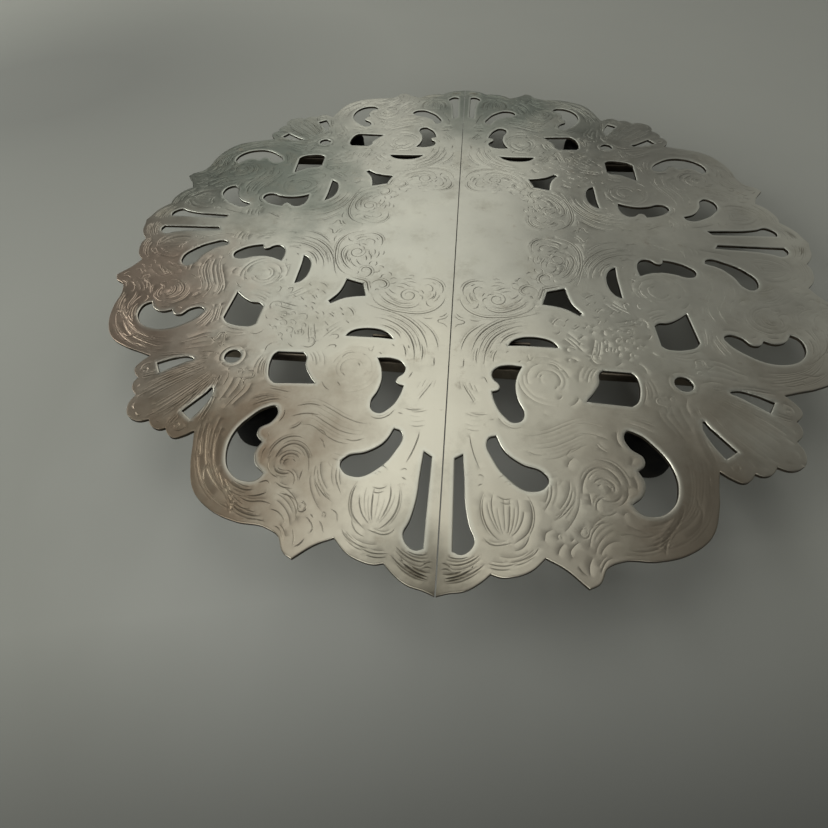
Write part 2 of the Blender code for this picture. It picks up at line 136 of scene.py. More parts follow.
def link_bmesh(name, bm):
    """A new object from a bmesh, which is used up."""
    mesh = bpy.data.meshes.new(name)
    bm.to_mesh(mesh)
    bm.free()
    return link(name, mesh)


def evaluated_mesh(thing):
    """The mesh that a curve, or an object with modifiers, comes to."""
    bpy.context.view_layer.update()
    graph = bpy.context.evaluated_depsgraph_get()
    return bpy.data.meshes.new_from_object(thing.evaluated_get(graph))


def sideways(line):
    """Unit vectors across a polyline, to the left of each of its points."""
    tangent = np.gradient(line, axis=0)
    tangent /= np.maximum(np.hypot(*tangent.T), 1e-9)[:, None]
    return np.stack([-tangent[:, 1], tangent[:, 0]], 1)


# ---- camera and light -------------------------------------------------------------------
# name, place, target, size, watts and colour of each soft rectangular light
LIGHTS = [
    ("ceiling_soft", (-0.15, 0.66, 0.80), (-0.1, 0.3, 0.0), (0.78, 1.1), 2.3,
     (0.985, 1.0, 0.955)),
    ("window_left", (-0.80, -0.06, 0.40), (-0.1, 0.05, 0.0), (0.55, 0.5), 3.4,
     (0.98, 1.0, 0.96)),
    ("ceiling_top", (-0.05, 0.02, 0.85), (-0.05, 0.02, 0.0), (0.7, 0.5), 0.4,
     (1.0, 0.99, 0.95)),
    ("room_front", (-0.35, -1.50, 0.34), (-0.05, 0.0, 0.0), (2.0, 0.5), 9.5,
     (0.98, 1.0, 0.97)),
    ("room_back", (-0.20, 1.60, 0.20), (-0.05, 0.0, 0.02), (1.6, 0.3), 0.6,
     (0.97, 1.0, 0.98)),
    ("room_right", (0.95, 0.75, 0.60), (0.05, 0.0, 0.0), (1.2, 0.8), 0.8,
     (0.99, 1.0, 0.95)),
]


def add_camera():
    """A wide view from above the near edge, looking down along the seam."""
    camera_data = bpy.data.cameras.new("camera")
    camera_data.sensor_width = 36.0
    camera_data.lens = 22.32
    camera_data.shift_x = 0.0086
    camera_data.shift_y = -0.1377
    camera_data.clip_start = 0.005
    camera = link("camera", camera_data)
    camera.location = (0.00153, -0.14071, 0.12689)
    camera.rotation_euler = [math.radians(angle) for angle in (44.579, 2.050, 5.997)]
    bpy.context.scene.camera = camera


def add_lights():
    for name, place, target, size, watts, colour in LIGHTS:
        light = bpy.data.lights.new(name, "AREA")
        light.shape = "RECTANGLE"
        light.size, light.size_y = size
        light.energy = watts
        light.color = colour
        lamp = link(name, light)
        lamp.location = place
        lamp.rotation_euler = (Vector(target) - Vector(place)).to_track_quat("-Z", "Y").to_euler()
    world = bpy.data.worlds.new("studio")
    world.use_nodes = True
    background = world.node_tree.nodes["Background"]
    background.inputs["Color"].default_value = (0.99, 1.0, 0.95, 1.0)
    background.inputs["Strength"].default_value = 0.07
    bpy.context.scene.world = world
    bpy.context.scene.view_settings.view_transform = "Standard"


# ---- materials --------------------------------------------------------------------------
MIX_BASE, MIX_TINT, MIX_RESULT = 6, 7, 2     # the colour sockets of a mix node
SMALL_PATCH = 0.04                           # a smaller patch has a less ragged edge
PATCH_CORE = 0.25                            # full strength within this share of its radius

BROWN = (0.25, 0.195, 0.14)
PINK_BROWN = (0.52, 0.385, 0.295)
WARM = (0.62, 0.555, 0.43)
RUBBED = (0.80, 0.77, 0.65)
GREEN_GREY = (0.20, 0.22, 0.185)
DULL_GREY = (0.31, 0.30, 0.26)
SOOT = (0.08, 0.07, 0.05)
# tarnish on the plate: centre and radius in metres, strength, colour
STAINS = [
    ((0.006, -0.110), 0.095, 0.65, WARM),
    ((-0.004, -0.082), 0.040, 0.55, RUBBED),
    ((0.028, -0.096), 0.034, 0.45, DULL_GREY),
    ((-0.104, -0.030), 0.045, 0.80, PINK_BROWN),
    ((-0.075, -0.070), 0.040, 0.45, PINK_BROWN),
    ((-0.055, -0.090), 0.041, 1.00, BROWN),
    ((-0.090, 0.046), 0.060, 0.95, GREEN_GREY),
    ((-0.064, 0.024), 0.036, 0.80, GREEN_GREY),
    ((0.058, -0.096), 0.045, 0.70, BROWN),
    ((0.090, -0.056), 0.030, 0.45, BROWN),
    ((0.036, -0.008), 0.045, 0.40, DULL_GREY),
    ((0.092, -0.012), 0.040, 0.60, DULL_GREY),
    ((0.085, 0.050), 0.060, 0.55, DULL_GREY),
    ((0.022, 0.105), 0.066, 0.95, GREEN_GREY),
    ((-0.001, -0.1120), 0.018, 1.00, SOOT),
]


class Surface:
    """A material in the making. Its methods add nodes and give back their outputs."""

    def __init__(self, name, metallic=1.0):
        self.material = bpy.data.materials.new(name)
        self.material.use_nodes = True
        self.tree = self.material.node_tree
        self.shader = self.tree.nodes["Principled BSDF"]
        self.shader.inputs["Metallic"].default_value = metallic
        self.place = self.node("TexCoord").outputs["Object"]

    def node(self, kind, **settings):
        made = self.tree.nodes.new("ShaderNode" + kind)
        for key, value in settings.items():
            if key in made.inputs:
                made.inputs[key].default_value = value
            else:
                setattr(made, key, value)
        return made

    def feed(self, socket, source):
        """Link an output to the socket, or set the socket to a value."""
        if isinstance(source, bpy.types.NodeSocket):
            self.tree.links.new(source, socket)
        else:
            socket.default_value = source

    def noise(self, scale, detail, roughness, stretch=(1.0, 1.0, 1.0), turn=0.0):
        mapping = self.node("Mapping", Scale=stretch, Rotation=(0.0, 0.0, turn))
        self.feed(mapping.inputs["Vector"], self.place)
        texture = self.node("TexNoise", Scale=scale, Detail=detail, Roughness=roughness)
        self.feed(texture.inputs["Vector"], mapping.outputs["Vector"])
        return texture.outputs["Fac"]

    def axis(self, name):
        """The place's X, Y or Z in metres."""
        split = self.node("SeparateXYZ")
        self.feed(split.inputs["Vector"], self.place)
        return split.outputs[name]

    def attribute(self, name):
        return self.node("Attribute", attribute_name=name).outputs["Fac"]

    def ramp(self, value, *stops):
        """A colour for each value. A stop is its position and its colour."""
        made = self.node("ValToRGB")
        elements = made.color_ramp.elements
        while len(elements) < len(stops):
            elements.new(0.5)
        for element, (position, colour) in zip(elements, stops):
            element.position = position
            element.color = (*colour, 1.0)
        self.feed(made.inputs["Fac"], value)
        return made.outputs["Color"]

    def rescale(self, value, low, high, to_low, to_high):
        """The value, moved from one range to another and kept within it."""
        made = self.node("MapRange")
        for socket, source in zip(made.inputs, (value, low, high, to_low, to_high)):
            self.feed(socket, source)
        return made.outputs[0]

    def calculate(self, operation, first, second):
        made = self.node("Math", operation=operation)
        for socket, source in zip(made.inputs, (first, second)):
            self.feed(socket, source)
        return made.outputs[0]

    def mix(self, share, base, tint):
        """The base colour with a share of the tint."""
        made = self.node("Mix", data_type="RGBA")
        self.feed(made.inputs[0], share)
        self.feed(made.inputs[MIX_BASE], base)
        made.inputs[MIX_TINT].default_value = (*tint, 1.0)
        return made.outputs[MIX_RESULT]

    def patches(self, base, tint, share, value, low, high):
        """The base colour, tinted up to a share where the value goes from low to high."""
        return self.mix(self.rescale(value, low, high, 0.0, share), base, tint)

    def stain_and_light_patch(self, base, tint, drift, centre, radius, strength):
        """The base colour with a soft-edged patch of tint round a place, for stains on the plate
        and for painted light and shade on the floor.
        """
        gap = self.node("VectorMath", operation="DISTANCE")
        self.feed(gap.inputs[0], self.place)
        gap.inputs[1].default_value = (*centre, PLATE_TOP * MM)
        ragged = self.calculate("MULTIPLY", drift, min(1.0, radius / SMALL_PATCH))
        distance = self.calculate("ADD", gap.outputs["Value"], ragged)
        share = self.rescale(distance, PATCH_CORE * radius, radius, strength, 0.0)
        return self.mix(share, base, tint)

    def finish(self, colour, roughness, relief, strength, distance):
        """Give the shader its colour, roughness and bump. Returns the material."""
        bump = self.node("Bump", Strength=strength, Distance=distance)
        self.feed(bump.inputs["Height"], relief)
        for name, source in (("Base Color", colour), ("Roughness", roughness),
                             ("Normal", bump.outputs["Normal"])):
            self.feed(self.shader.inputs[name], source)
        return self.material


def silver_top():
    """Worn plate: creamy where it is rubbed, stained brown and grey towards the edges."""
    top = Surface("silver_plate_top")
    drift = top.rescale(top.noise(30.0, 6.0, 0.62), 0.3, 0.7, -0.016, 0.016)
    colour = top.ramp(top.noise(55.0, 5.0, 0.62), (0.3, (0.64, 0.625, 0.535)),
                      (0.7, (0.58, 0.565, 0.49)))
    for centre, radius, strength, tint in STAINS:
        colour = top.stain_and_light_patch(colour, tint, drift, centre, radius, strength)
    blotches = top.noise(75.0, 7.0, 0.72)
    colour = top.patches(colour, (0.33, 0.305, 0.235), 0.30, blotches, 0.52, 0.66)
    spots = top.noise(190.0, 6.0, 0.7)
    colour = top.patches(colour, (0.34, 0.29, 0.22), 0.5, spots, 0.62, 0.74)
    groove = top.rescale(top.attribute("groove"), 0.3, 1.0, 0.0, 0.85)
    dirt = top.rescale(top.noise(60.0, 3.0, 0.6), 0.35, 0.62, 0.25, 0.95)
    colour = top.mix(top.calculate("MULTIPLY", dirt, groove), colour, (0.11, 0.09, 0.06))
    # painted highlight, partly wear: a lighter band round every hole, on its edges
    worn_and_sheen = top.calculate("MULTIPLY", top.attribute("worn_and_sheen"), 0.5)
    colour = top.mix(worn_and_sheen, colour, (0.78, 0.79, 0.70))
    smudges = top.rescale(top.noise(35.0, 6.0, 0.65), 0.3, 0.7, 0.28, 0.40)
    return top.finish(colour, smudges, top.noise(900.0, 2.0, 0.5), 0.10, 0.00005)


def silver_cut():
    """The cut edges of the sheet, brown-black: painted shade for walls that lie unlit, with a
    brown mottle.
    """
    walls = Surface("silver_plate_cut")
    wall_mottle = walls.noise(420.0, 5.0, 0.6)
    # painted shade: the walls are coloured near black because they lie in shadow
    colour = walls.ramp(wall_mottle, (0.35, (0.035, 0.028, 0.02)), (0.7, (0.12, 0.10, 0.075)))
    return walls.finish(colour, 0.55, wall_mottle, 0.3, 0.0001)


def silver_under():
    """The underside: dull and blotchy, with brown patches and rub marks."""
    under = Surface("silver_plate_under")
    colour = under.ramp(under.noise(22.0, 6.0, 0.62), (0.25, (0.44, 0.41, 0.34)),
                        (0.5, (0.33, 0.29, 0.225)), (0.7, (0.20, 0.165, 0.12)))
    blotches = under.noise(90.0, 7.0, 0.7)
    colour = under.patches(colour, (0.17, 0.14, 0.10), 0.55, blotches, 0.5, 0.66)
    rubs = under.noise(60.0, 5.0, 0.65, (14.0, 1.0, 1.0), 0.2)
    colour = under.patches(colour, (0.58, 0.55, 0.47), 0.45, rubs, 0.55, 0.72)
    roughness = under.rescale(blotches, 0.5, 0.66, 0.36, 0.55)
    return under.finish(colour, roughness, under.noise(500.0, 4.0, 0.6), 0.2, 0.0001)


def tarnished(name, light, dark, roughness, stretch, painted_shade_behind=0.0):
    """Plain metal with drawn marks along X, dark blotches and a film, darkened by painted shade
    towards +Y.
    """
    metal = Surface(name)
    clouds = metal.noise(70.0, 6.0, 0.65)
    colour = metal.ramp(clouds, (0.32, light), (0.68, dark))
    darkest = tuple(0.45 * value for value in dark)
    colour = metal.patches(colour, darkest, 0.6, metal.noise(320.0, 6.0, 0.7), 0.58, 0.70)
    lines = metal.noise(260.0, 3.0, 0.5, stretch)
    lightest = tuple(1.35 * value for value in light)
    colour = metal.patches(colour, lightest, 0.35, lines, 0.58, 0.75)
    # painted shade: pieces towards +Y, behind, are darkened near to black as if in shadow
    colour = metal.patches(colour, (0.02, 0.017, 0.012), painted_shade_behind, metal.axis("Y"), -0.01, 0.02)
    smudges = metal.rescale(clouds, 0.3, 0.7, roughness - 0.06, roughness + 0.10)
    return metal.finish(colour, smudges, lines, 0.25, 0.00008)


def black_rubber():
    """The feet: matt black, with a fine grain and a little dust low down."""
    rubber = Surface("foot_black", 0.0)
    dust = rubber.noise(160.0, 6.0, 0.7)
    colour = rubber.ramp(dust, (0.45, (0.002, 0.002, 0.002)), (0.8, (0.012, 0.011, 0.009)))
    low_down = rubber.rescale(rubber.axis("Z"), 0.0, 0.003, 0.5, 0.0)
    colour = rubber.mix(low_down, colour, (0.016, 0.015, 0.012))
    rubber.shader.inputs["Specular IOR Level"].default_value = 0.10
    roughness = rubber.rescale(dust, 0.3, 0.7, 0.62, 0.80)
    return rubber.finish(colour, roughness, rubber.noise(1400.0, 3.0, 0.6), 0.35, 0.0001)


def floor_colour_and_painted_light():
    """Grey-green table top with painted light: a pale pool of painted light under the plate,
    painted shadow in front and painted shade far to the left.
    """
    table = Surface("floor_colour_and_painted_light", 0.0)
    colour = table.ramp(table.noise(16.0, 5.0, 0.6), (0.3, (0.427, 0.430, 0.388)),
                        (0.7, (0.417, 0.420, 0.380)))
    drift = table.rescale(table.noise(8.0, 4.0, 0.6), 0.3, 0.7, -0.01, 0.01)
    # painted light: a pale pool on the floor under and round the plate, lighter than the plate's
    # shadow would leave it
    colour = table.stain_and_light_patch(colour, (0.62, 0.625, 0.59), drift, (-0.01, -0.06), 0.105, 1.0)
    # painted shadow: the floor darkens towards the camera, in front of the plate
    slant = table.calculate("MULTIPLY", table.axis("X"), -0.2)
    front = table.calculate("ADD", table.axis("Y"), slant)
    painted_shadow_in_front = table.rescale(front, -0.150, -0.105, 0.95, 0.0)
    colour = table.mix(painted_shadow_in_front, colour, (0.13, 0.132, 0.122))
    # painted shade: a darker patch far to the left
    colour = table.stain_and_light_patch(colour, (0.22, 0.222, 0.205), drift, (-0.26, 0.16), 0.22, 0.7)
    return table.finish(colour, 0.8, table.noise(700.0, 3.0, 0.5), 0.08, 0.0001)


# ---- outlines of the wedge --------------------------------------------------------------
def direction(points, index, closed):
    """Unit tangent at a smooth point, or None at a corner or at an open end."""
    count = len(points)
    if len(points[index]) > 2 or (not closed and index in (0, count - 1)):
        return None
    before = points[(index - 1) % count]
    here = points[index]
    after = points[(index + 1) % count]
    in_x, in_y = here[0] - before[0], here[1] - before[1]
    out_x, out_y = after[0] - here[0], after[1] - here[1]
    ratio = math.hypot(out_x, out_y) / math.hypot(in_x, in_y)
    x, y = in_x * ratio + out_x / ratio, in_y * ratio + out_y / ratio
    size = math.hypot(x, y)
    return (x / size, y / size)


def smooth_outline(points, closed=True, longest=OUTLINE_STEP):
    """Cubic curves through the points, straight into each corner, in short steps."""
    count = len(points)
    result = []
    for index in range(count if closed else count - 1):
        following = (index + 1) % count
        ax, ay = points[index][:2]
        bx, by = points[following][:2]
        length = math.hypot(bx - ax, by - ay)
        chord = ((bx - ax) / length, (by - ay) / length)
        leave = direction(points, index, closed) or chord
        arrive = direction(points, following, closed) or chord
        pull = CURVE_PULL * length
        controls = ((ax, ay), (ax + leave[0] * pull, ay + leave[1] * pull),
                    (bx - arrive[0] * pull, by - arrive[1] * pull), (bx, by))
        steps = max(2, math.ceil(length / longest))
        for step in range(steps):
            t = step / steps
            weights = ((1 - t) ** 3, 3 * t * (1 - t) ** 2, 3 * t * t * (1 - t), t ** 3)
            result.append(tuple(sum(w * p[axis] for w, p in zip(weights, controls))
                                for axis in (0, 1)))
    if not closed:
        result.append(tuple(points[-1][:2]))
    return result


def straight(start, end, step):
    """Points from start up to, but without, end."""
    length = math.hypot(end[0] - start[0], end[1] - start[1])
    count = max(1, round(length / step))
    return [(start[0] + (end[0] - start[0]) * i / count,
             start[1] + (end[1] - start[1]) * i / count) for i in range(count)]


def curve(points, longest):
    """A smooth open curve through points that are no corners."""
    return smooth_outline(points, closed=False, longest=longest)


class Wedge:
    """The sheet's shape in one eighth: its loops and where they are real edges."""

    def __init__(self):
        self.holes = [smooth_outline(outline) for outline in
                      (TULIP, BANANA, KIDNEY, HALF_MOON, WINDOW, SHELL_SLOT, CRESCENT)]
        star = smooth_outline(HALF_STAR, closed=False) + [(STAR_TIP, STAR_TIP)]
        quarter = math.pi / 4
        turns = [quarter + math.pi * (1 - step / 10) for step in range(11)]
        round_hole = [(ROUND_HOLE_AT + ROUND_HOLE_RADIUS * math.cos(turn),
                       ROUND_HOLE_AT + ROUND_HOLE_RADIUS * math.sin(turn)) for turn in turns]
        edge = smooth_outline(EDGE, closed=False)[::-1]
        self.real_edges = [hole + hole[:1] for hole in self.holes] + [star, round_hole, edge]
        origin = (0.0, 0.0)
        axis = straight(edge[-1], origin, BORDER_STEP)[1:]
        self.loop = ([origin] + straight(origin, star[0], BORDER_STEP)[1:] + star
                     + straight(star[-1], round_hole[0], BORDER_STEP)[1:] + round_hole
                     + straight(round_hole[-1], edge[0], BORDER_STEP)[1:] + edge + axis)

    def contains(self, points):
        inside = in_polygon(points, self.loop)
        for hole in self.holes:
            inside &= ~in_polygon(points, hole)
        return inside

    def edge_distance(self, points, holes_only=False):
        distance = np.full(len(points), 99.0)
        for line in self.real_edges[:-1] if holes_only else self.real_edges:
            distance = np.minimum(distance, line_distance(points, np.array(line))[0])
        return distance


def in_polygon(points, polygon):
    """Even-odd test of an array of points."""
    x, y = points[:, 0], points[:, 1]
    inside = np.zeros(len(points), bool)
    for (ax, ay), (bx, by) in zip(polygon, polygon[1:] + polygon[:1]):
        if ay == by:
            continue
        crosses = ((ay > y) != (by > y)) & (x < (bx - ax) * (y - ay) / (by - ay) + ax)
        inside ^= crosses
    return inside


def line_distance(points, line):
    """Distance of each point to a polyline, and how far along it the nearest place is."""
    nearest = np.full(len(points), 1e9)
    along = np.zeros(len(points))
    for index in range(len(line) - 1):
        start, step = line[index], line[index + 1] - line[index]
        t = np.clip(((points - start) @ step) / max(step @ step, 1e-12), 0.0, 1.0)
        gap = np.hypot(*(points - start - t[:, None] * step).T)
        closer = gap < nearest
        nearest = np.where(closer, gap, nearest)
        along = np.where(closer, index + t, along)
    return nearest, along


# ---- engraving --------------------------------------------------------------------------
class Relief:
    """Grooves and raised ridges, each a polyline with a width and a height."""

    def __init__(self):
        self.lines = []

    def add(self, path, width, height, taper):
        """height is negative for a groove. taper is the share of each end that thins out."""
        line = np.array(path, float)
        share = np.linspace(0.0, 1.0, len(line))
        if taper:
            fade = np.clip(np.minimum(share, 1 - share) / taper, 0.0, 1.0)
        else:
            fade = np.ones(len(line))
        half = width / 2 * (THIN_END + (1 - THIN_END) * fade)
        self.lines.append((line, half, height * (SHALLOW_END + (1 - SHALLOW_END) * fade)))

    def groove(self, points, width, depth, taper=TAPER):
        self.add(curve(points, STROKE_STEP), width, -depth, taper)

    def ridge(self, points, width, height):
        self.add(curve(points, RIDGE_STEP), width, height, TAPER)

    def height(self, points):
        """How far the face is raised and sunk at each point."""
        raised = np.zeros(len(points))
        sunk = np.zeros(len(points))
        for line, half, height in self.lines:
            reach = half.max()
            low, high = line.min(0) - reach, line.max(0) + reach
            near = np.flatnonzero(((points >= low) & (points <= high)).all(1))
            if not len(near):
                continue
            gap, along = line_distance(points[near], line)
            stations = np.arange(len(line))
            width_here = np.interp(along, stations, half)
            height_here = np.interp(along, stations, height)
            share = np.clip(gap / width_here, 0.0, 1.0)
            if height[len(height) // 2] > 0:
                raised[near] = np.maximum(raised[near], height_here * (1 - share ** 2) ** 1.3)
            else:
                sunk[near] = np.maximum(sunk[near], -height_here * (1 - share))
        return raised, sunk

    def mesh_lines(self):
        """Lines that the mesh follows: the middle and both sides of every stroke."""
        lines = []
        for line, half, height in self.lines:
            normal = sideways(line)
            is_ridge = height[len(height) // 2] > 0
            for share in (0.0, -0.5, 0.5, -1.0, 1.0) if is_ridge else (0.0, -1.0, 1.0):
                lines.append((line + normal * (half * share)[:, None], not is_ridge))
        return sorted(lines, key=lambda item: not item[1])


# The engraving: one list for each part of the pattern, of (u, v) lines through the points.
CENTRE_BOLD = [
    [(24.8, 31.6), (23.4, 35.0), (19.5, 38.0), (13.5, 39.5), (8.0, 39.3), (4.4, 37.2),
     (2.4, 33.6), (2.1, 30.6)],
    [(22.4, 31.8), (20.6, 34.2), (17.0, 36.6), (13.0, 37.5), (10.4, 36.4), (9.2, 34.0)],
    [(10.4, 25.0), (7.4, 24.6), (4.4, 25.8), (3.0, 28.6), (3.5, 31.6)],
    [(25.5, 28.4), (24.6, 26.9), (22.8, 26.1), (21.0, 26.9), (20.5, 28.3), (21.4, 29.3),
     (22.7, 29.0), (22.8, 28.0)],
    [(29.3, 25.9), (27.1, 27.1), (26.1, 29.8), (25.3, 32.2)],
]
CENTRE_FINE = [
    [(19.6, 33.0), (16.6, 35.0), (13.6, 35.6), (11.6, 34.6)],
    [(21.0, 30.6), (19.2, 32.8), (16.8, 34.0), (15.6, 34.2)],
    [(9.4, 27.8), (7.6, 27.2), (6.2, 28.6), (6.5, 30.2), (7.7, 30.3)],
    [(5.6, 31.2), (6.0, 32.8), (7.4, 33.6)],
    [(7.8, 34.2), (7.2, 36.0), (5.8, 36.6)],
    [(10.4, 31.6), (9.0, 32.6), (9.2, 34.2)],
    [(17.4, 27.2), (15.2, 27.3), (13.0, 28.4), (11.4, 28.2)],
    [(17.6, 28.6), (15.8, 28.8), (14.4, 29.6)],
    [(16.0, 25.6), (14.2, 24.9), (12.2, 25.2)], [(14.6, 26.4), (12.8, 26.3), (11.2, 26.8)],
    [(19.8, 29.6), (18.4, 31.2), (16.8, 32.0)],
    [(24.2, 25.6), (22.8, 25.0), (22.4, 23.8), (21.2, 23.4)],
    [(20.8, 22.2), (19.8, 22.9), (19.4, 24.2)], [(19.9, 25.6), (18.7, 24.9), (17.4, 25.4)],
    [(14.4, 23.7), (13.2, 23.3), (12.0, 23.6)], [(19.6, 27.4), (18.4, 27.3), (17.4, 26.6)],
    [(22.4, 30.6), (23.4, 30.2), (23.8, 31.0)], [(9.6, 29.6), (8.6, 31.4)],
    [(12.4, 30.2), (10.8, 30.4), (10.2, 31.2)], [(6.6, 26.0), (5.2, 27.2)],
    [(1.2, 38.6), (2.2, 39.8), (3.9, 40.6)], [(8.5, 41.0), (6.6, 41.3), (5.0, 40.8)],
]
SWEEP_BOLD = [
    [(26.3, 35.8), (23.8, 37.4), (20.4, 38.6), (17.0, 39.6), (13.8, 41.1), (10.6, 43.5),
     (8.2, 46.4), (6.6, 50.0), (5.7, 54.6)],
    [(22.8, 41.7), (18.4, 42.6), (14.8, 44.6), (12.0, 47.3), (10.3, 50.6), (9.4, 54.6),
     (9.3, 58.4)],
    [(20.6, 44.4), (17.4, 45.4), (14.8, 47.4), (13.4, 49.8)],
]
SWEEP_FINE = [
    [(10.6, 41.2), (7.8, 43.4), (5.2, 46.2), (3.6, 49.8), (2.9, 53.6)],
    [(21.0, 40.4), (17.2, 41.4), (13.6, 43.2), (10.8, 45.8), (9.2, 48.6)],
    [(13.0, 51.0), (12.0, 53.4), (11.6, 56.2)],
    [(0.5, 38.9), (1.8, 40.8), (3.8, 42.0), (1.8, 43.2), (0.6, 45.2)],
    [(7.8, 50.4), (7.2, 53.6), (7.3, 57.2)], [(11.4, 51.6), (10.9, 52.8)],
    [(4.0, 55.0), (3.8, 58.4)], [(9.3, 60.4), (10.2, 62.6)],
]
FEATHER = [
    [(7.4, 69.8), (6.2, 67.4), (4.8, 65.0), (3.5, 62.2)],
    [(10.9, 71.5), (8.2, 72.0), (5.1, 71.3)], [(11.8, 73.0), (10.4, 73.3)],
    [(5.8, 76.4), (6.2, 79.6), (7.2, 83.2), (8.8, 87.0)],
    [(18.8, 74.4), (16.6, 75.1), (14.2, 74.2), (12.3, 71.8)],
]
MEDALLION = [
    [(28.9, 57.6), (28.2, 56.0), (26.6, 55.1), (24.8, 55.3)],
    [(24.2, 58.5), (23.4, 59.8)], [(27.8, 62.1), (26.8, 63.2)], [(28.7, 64.9), (27.4, 66.4)],
    [(32.7, 65.2), (31.6, 66.8), (30.0, 68.0)],
    [(22.4, 53.0), (21.5, 54.3), (20.7, 52.4)], [(23.7, 55.2), (22.4, 56.0)],
    [(19.0, 54.5), (18.2, 55.3)], [(16.0, 51.4), (15.0, 52.3)],
    [(34.4, 50.2), (32.8, 49.2), (31.4, 49.5), (31.6, 50.6), (32.8, 50.4)],
    [(34.0, 54.2), (32.7, 53.0), (31.3, 53.3), (31.8, 54.4)],
]
MEDALLION_FAINT = [
    [(26.3, 65.8), (24.2, 66.3), (22.2, 65.6)], [(27.2, 70.0), (25.2, 70.9), (22.8, 69.8)],
    [(30.2, 55.6), (27.2, 53.4), (22.8, 53.0), (19.6, 53.6)],
]
FAN = [
    [(37.6, 73.3), (33.6, 72.3), (30.0, 73.0)], [(38.4, 76.4), (34.2, 75.1), (30.2, 75.4)],
    [(37.6, 79.8), (35.6, 78.6), (34.6, 77.0)], [(24.0, 81.0), (21.4, 81.5), (18.4, 80.5)],
    [(29.6, 81.3), (28.4, 82.4), (27.6, 84.2)], [(30.6, 79.0), (28.8, 79.8), (27.8, 81.2)],
]
CURL_BOLD = [
    [(38.8, 88.2), (38.4, 86.0), (37.3, 84.4), (35.7, 83.5), (34.1, 83.6), (32.5, 84.5),
     (31.2, 86.2), (30.4, 88.4), (30.1, 91.0)],
    [(38.6, 89.2), (37.6, 90.5), (35.8, 91.0), (33.8, 90.4)],
    [(37.0, 89.0), (37.3, 87.6), (36.4, 86.4), (35.0, 86.0), (33.6, 86.5), (32.6, 87.8)],
]
CURL_FINE = [
    [(40.0, 88.6), (40.3, 86.4), (39.5, 84.0), (37.6, 82.1), (34.8, 81.5), (32.0, 82.4)],
    [(39.5, 86.0), (40.0, 88.4), (39.3, 90.2), (37.6, 91.7), (35.0, 92.0)],
    [(36.6, 88.6), (36.0, 87.6), (35.0, 87.4)], [(34.6, 87.2), (33.5, 88.0)],
    [(35.7, 90.0), (34.0, 90.5), (32.8, 92.0), (33.0, 93.8)], [(31.6, 89.4), (31.8, 92.4)],
    [(37.4, 92.8), (35.2, 94.0), (32.4, 94.2)], [(35.6, 95.4), (33.0, 95.9), (31.2, 96.8)],
    [(42.4, 80.6), (41.8, 82.2)], [(41.8, 88.4), (42.1, 86.2), (41.4, 84.2)],
    [(28.9, 90.8), (27.2, 93.2), (25.2, 95.2), (22.6, 96.7)],
]
LEAF_POINT = [
    [(30.4, 96.5), (29.3, 97.0), (28.8, 98.6), (29.7, 99.1), (30.6, 98.0), (30.4, 96.5)],
    [(28.9, 99.6), (27.2, 100.8), (26.3, 102.3), (27.0, 103.6)], [(27.5, 99.2), (26.5, 100.2)],
    [(37.0, 98.9), (34.2, 99.7), (32.8, 101.0), (32.0, 102.6)],
    [(35.0, 102.3), (33.4, 102.9), (32.3, 104.2), (31.5, 106.0)],
    [(27.4, 104.2), (28.2, 105.5), (29.2, 106.2)], [(30.6, 102.6), (29.7, 104.4), (29.6, 106.2)],
    [(25.4, 100.4), (24.2, 101.8), (23.8, 103.0)], [(23.4, 97.8), (21.8, 98.8), (21.4, 100.6)],
]
SMALL_SHELL = [
    [(15.3, 92.2), (13.6, 92.5), (11.6, 91.7)], [(15.2, 93.3), (13.8, 93.5), (12.4, 93.0)],
    [(9.4, 87.9), (8.4, 87.4), (7.9, 87.7)], [(9.0, 89.4), (7.8, 90.0)],
    [(15.3, 101.2), (13.2, 101.9), (10.9, 102.1), (9.6, 101.4), (8.9, 100.2)],
    [(18.6, 99.0), (18.0, 100.8), (16.6, 102.4), (14.6, 103.0)],
]
LOBE_EDGE = [
    [(15.6, 105.2), (13.4, 105.9), (11.2, 105.9), (9.4, 105.6)],
    [(15.0, 106.3), (12.4, 106.7), (9.6, 106.4)],
    [(20.4, 101.4), (19.4, 102.9), (18.0, 104.0), (16.4, 104.8)],
    [(6.6, 104.6), (5.0, 105.3), (3.2, 105.4), (1.5, 105.0)],
    [(3.1, 107.5), (2.0, 106.7), (0.8, 106.4)], [(3.0, 107.9), (1.8, 107.5), (0.8, 107.7)],
    [(7.2, 106.2), (6.8, 107.2)], [(6.0, 108.8), (4.0, 109.2), (1.4, 109.8)],
]
ARM_BOLD = [
    [(51.2, 90.6), (49.4, 93.6), (47.3, 96.1), (44.9, 98.3), (42.0, 99.5), (39.4, 99.3)],
    [(46.7, 97.0), (45.3, 99.0), (44.7, 100.9)],
    [(46.4, 97.3), (43.6, 99.8), (40.6, 100.7), (37.2, 100.7)],
    [(48.5, 93.2), (45.4, 94.9), (42.6, 95.4), (40.9, 94.9)],
    [(49.0, 74.0), (46.6, 72.7), (43.8, 71.7), (41.2, 71.6)],
]
ARM_FINE = [
    [(49.8, 72.2), (46.6, 70.9), (43.2, 70.3)], [(40.2, 73.4), (39.8, 76.0), (40.8, 78.6)],
    [(57.9, 83.0), (57.6, 85.4), (57.0, 88.0), (57.8, 87.0)],
    [(54.6, 87.0), (53.8, 89.6), (54.2, 91.4), (53.0, 94.6)],
    [(45.0, 96.6), (41.8, 97.8), (38.4, 97.6), (35.4, 98.3)],
    [(43.0, 96.8), (40.2, 96.4), (37.6, 95.2)], [(40.8, 93.6), (38.8, 93.0), (37.8, 94.0)],
    [(42.2, 101.6), (39.0, 101.5), (36.2, 101.8)],
]
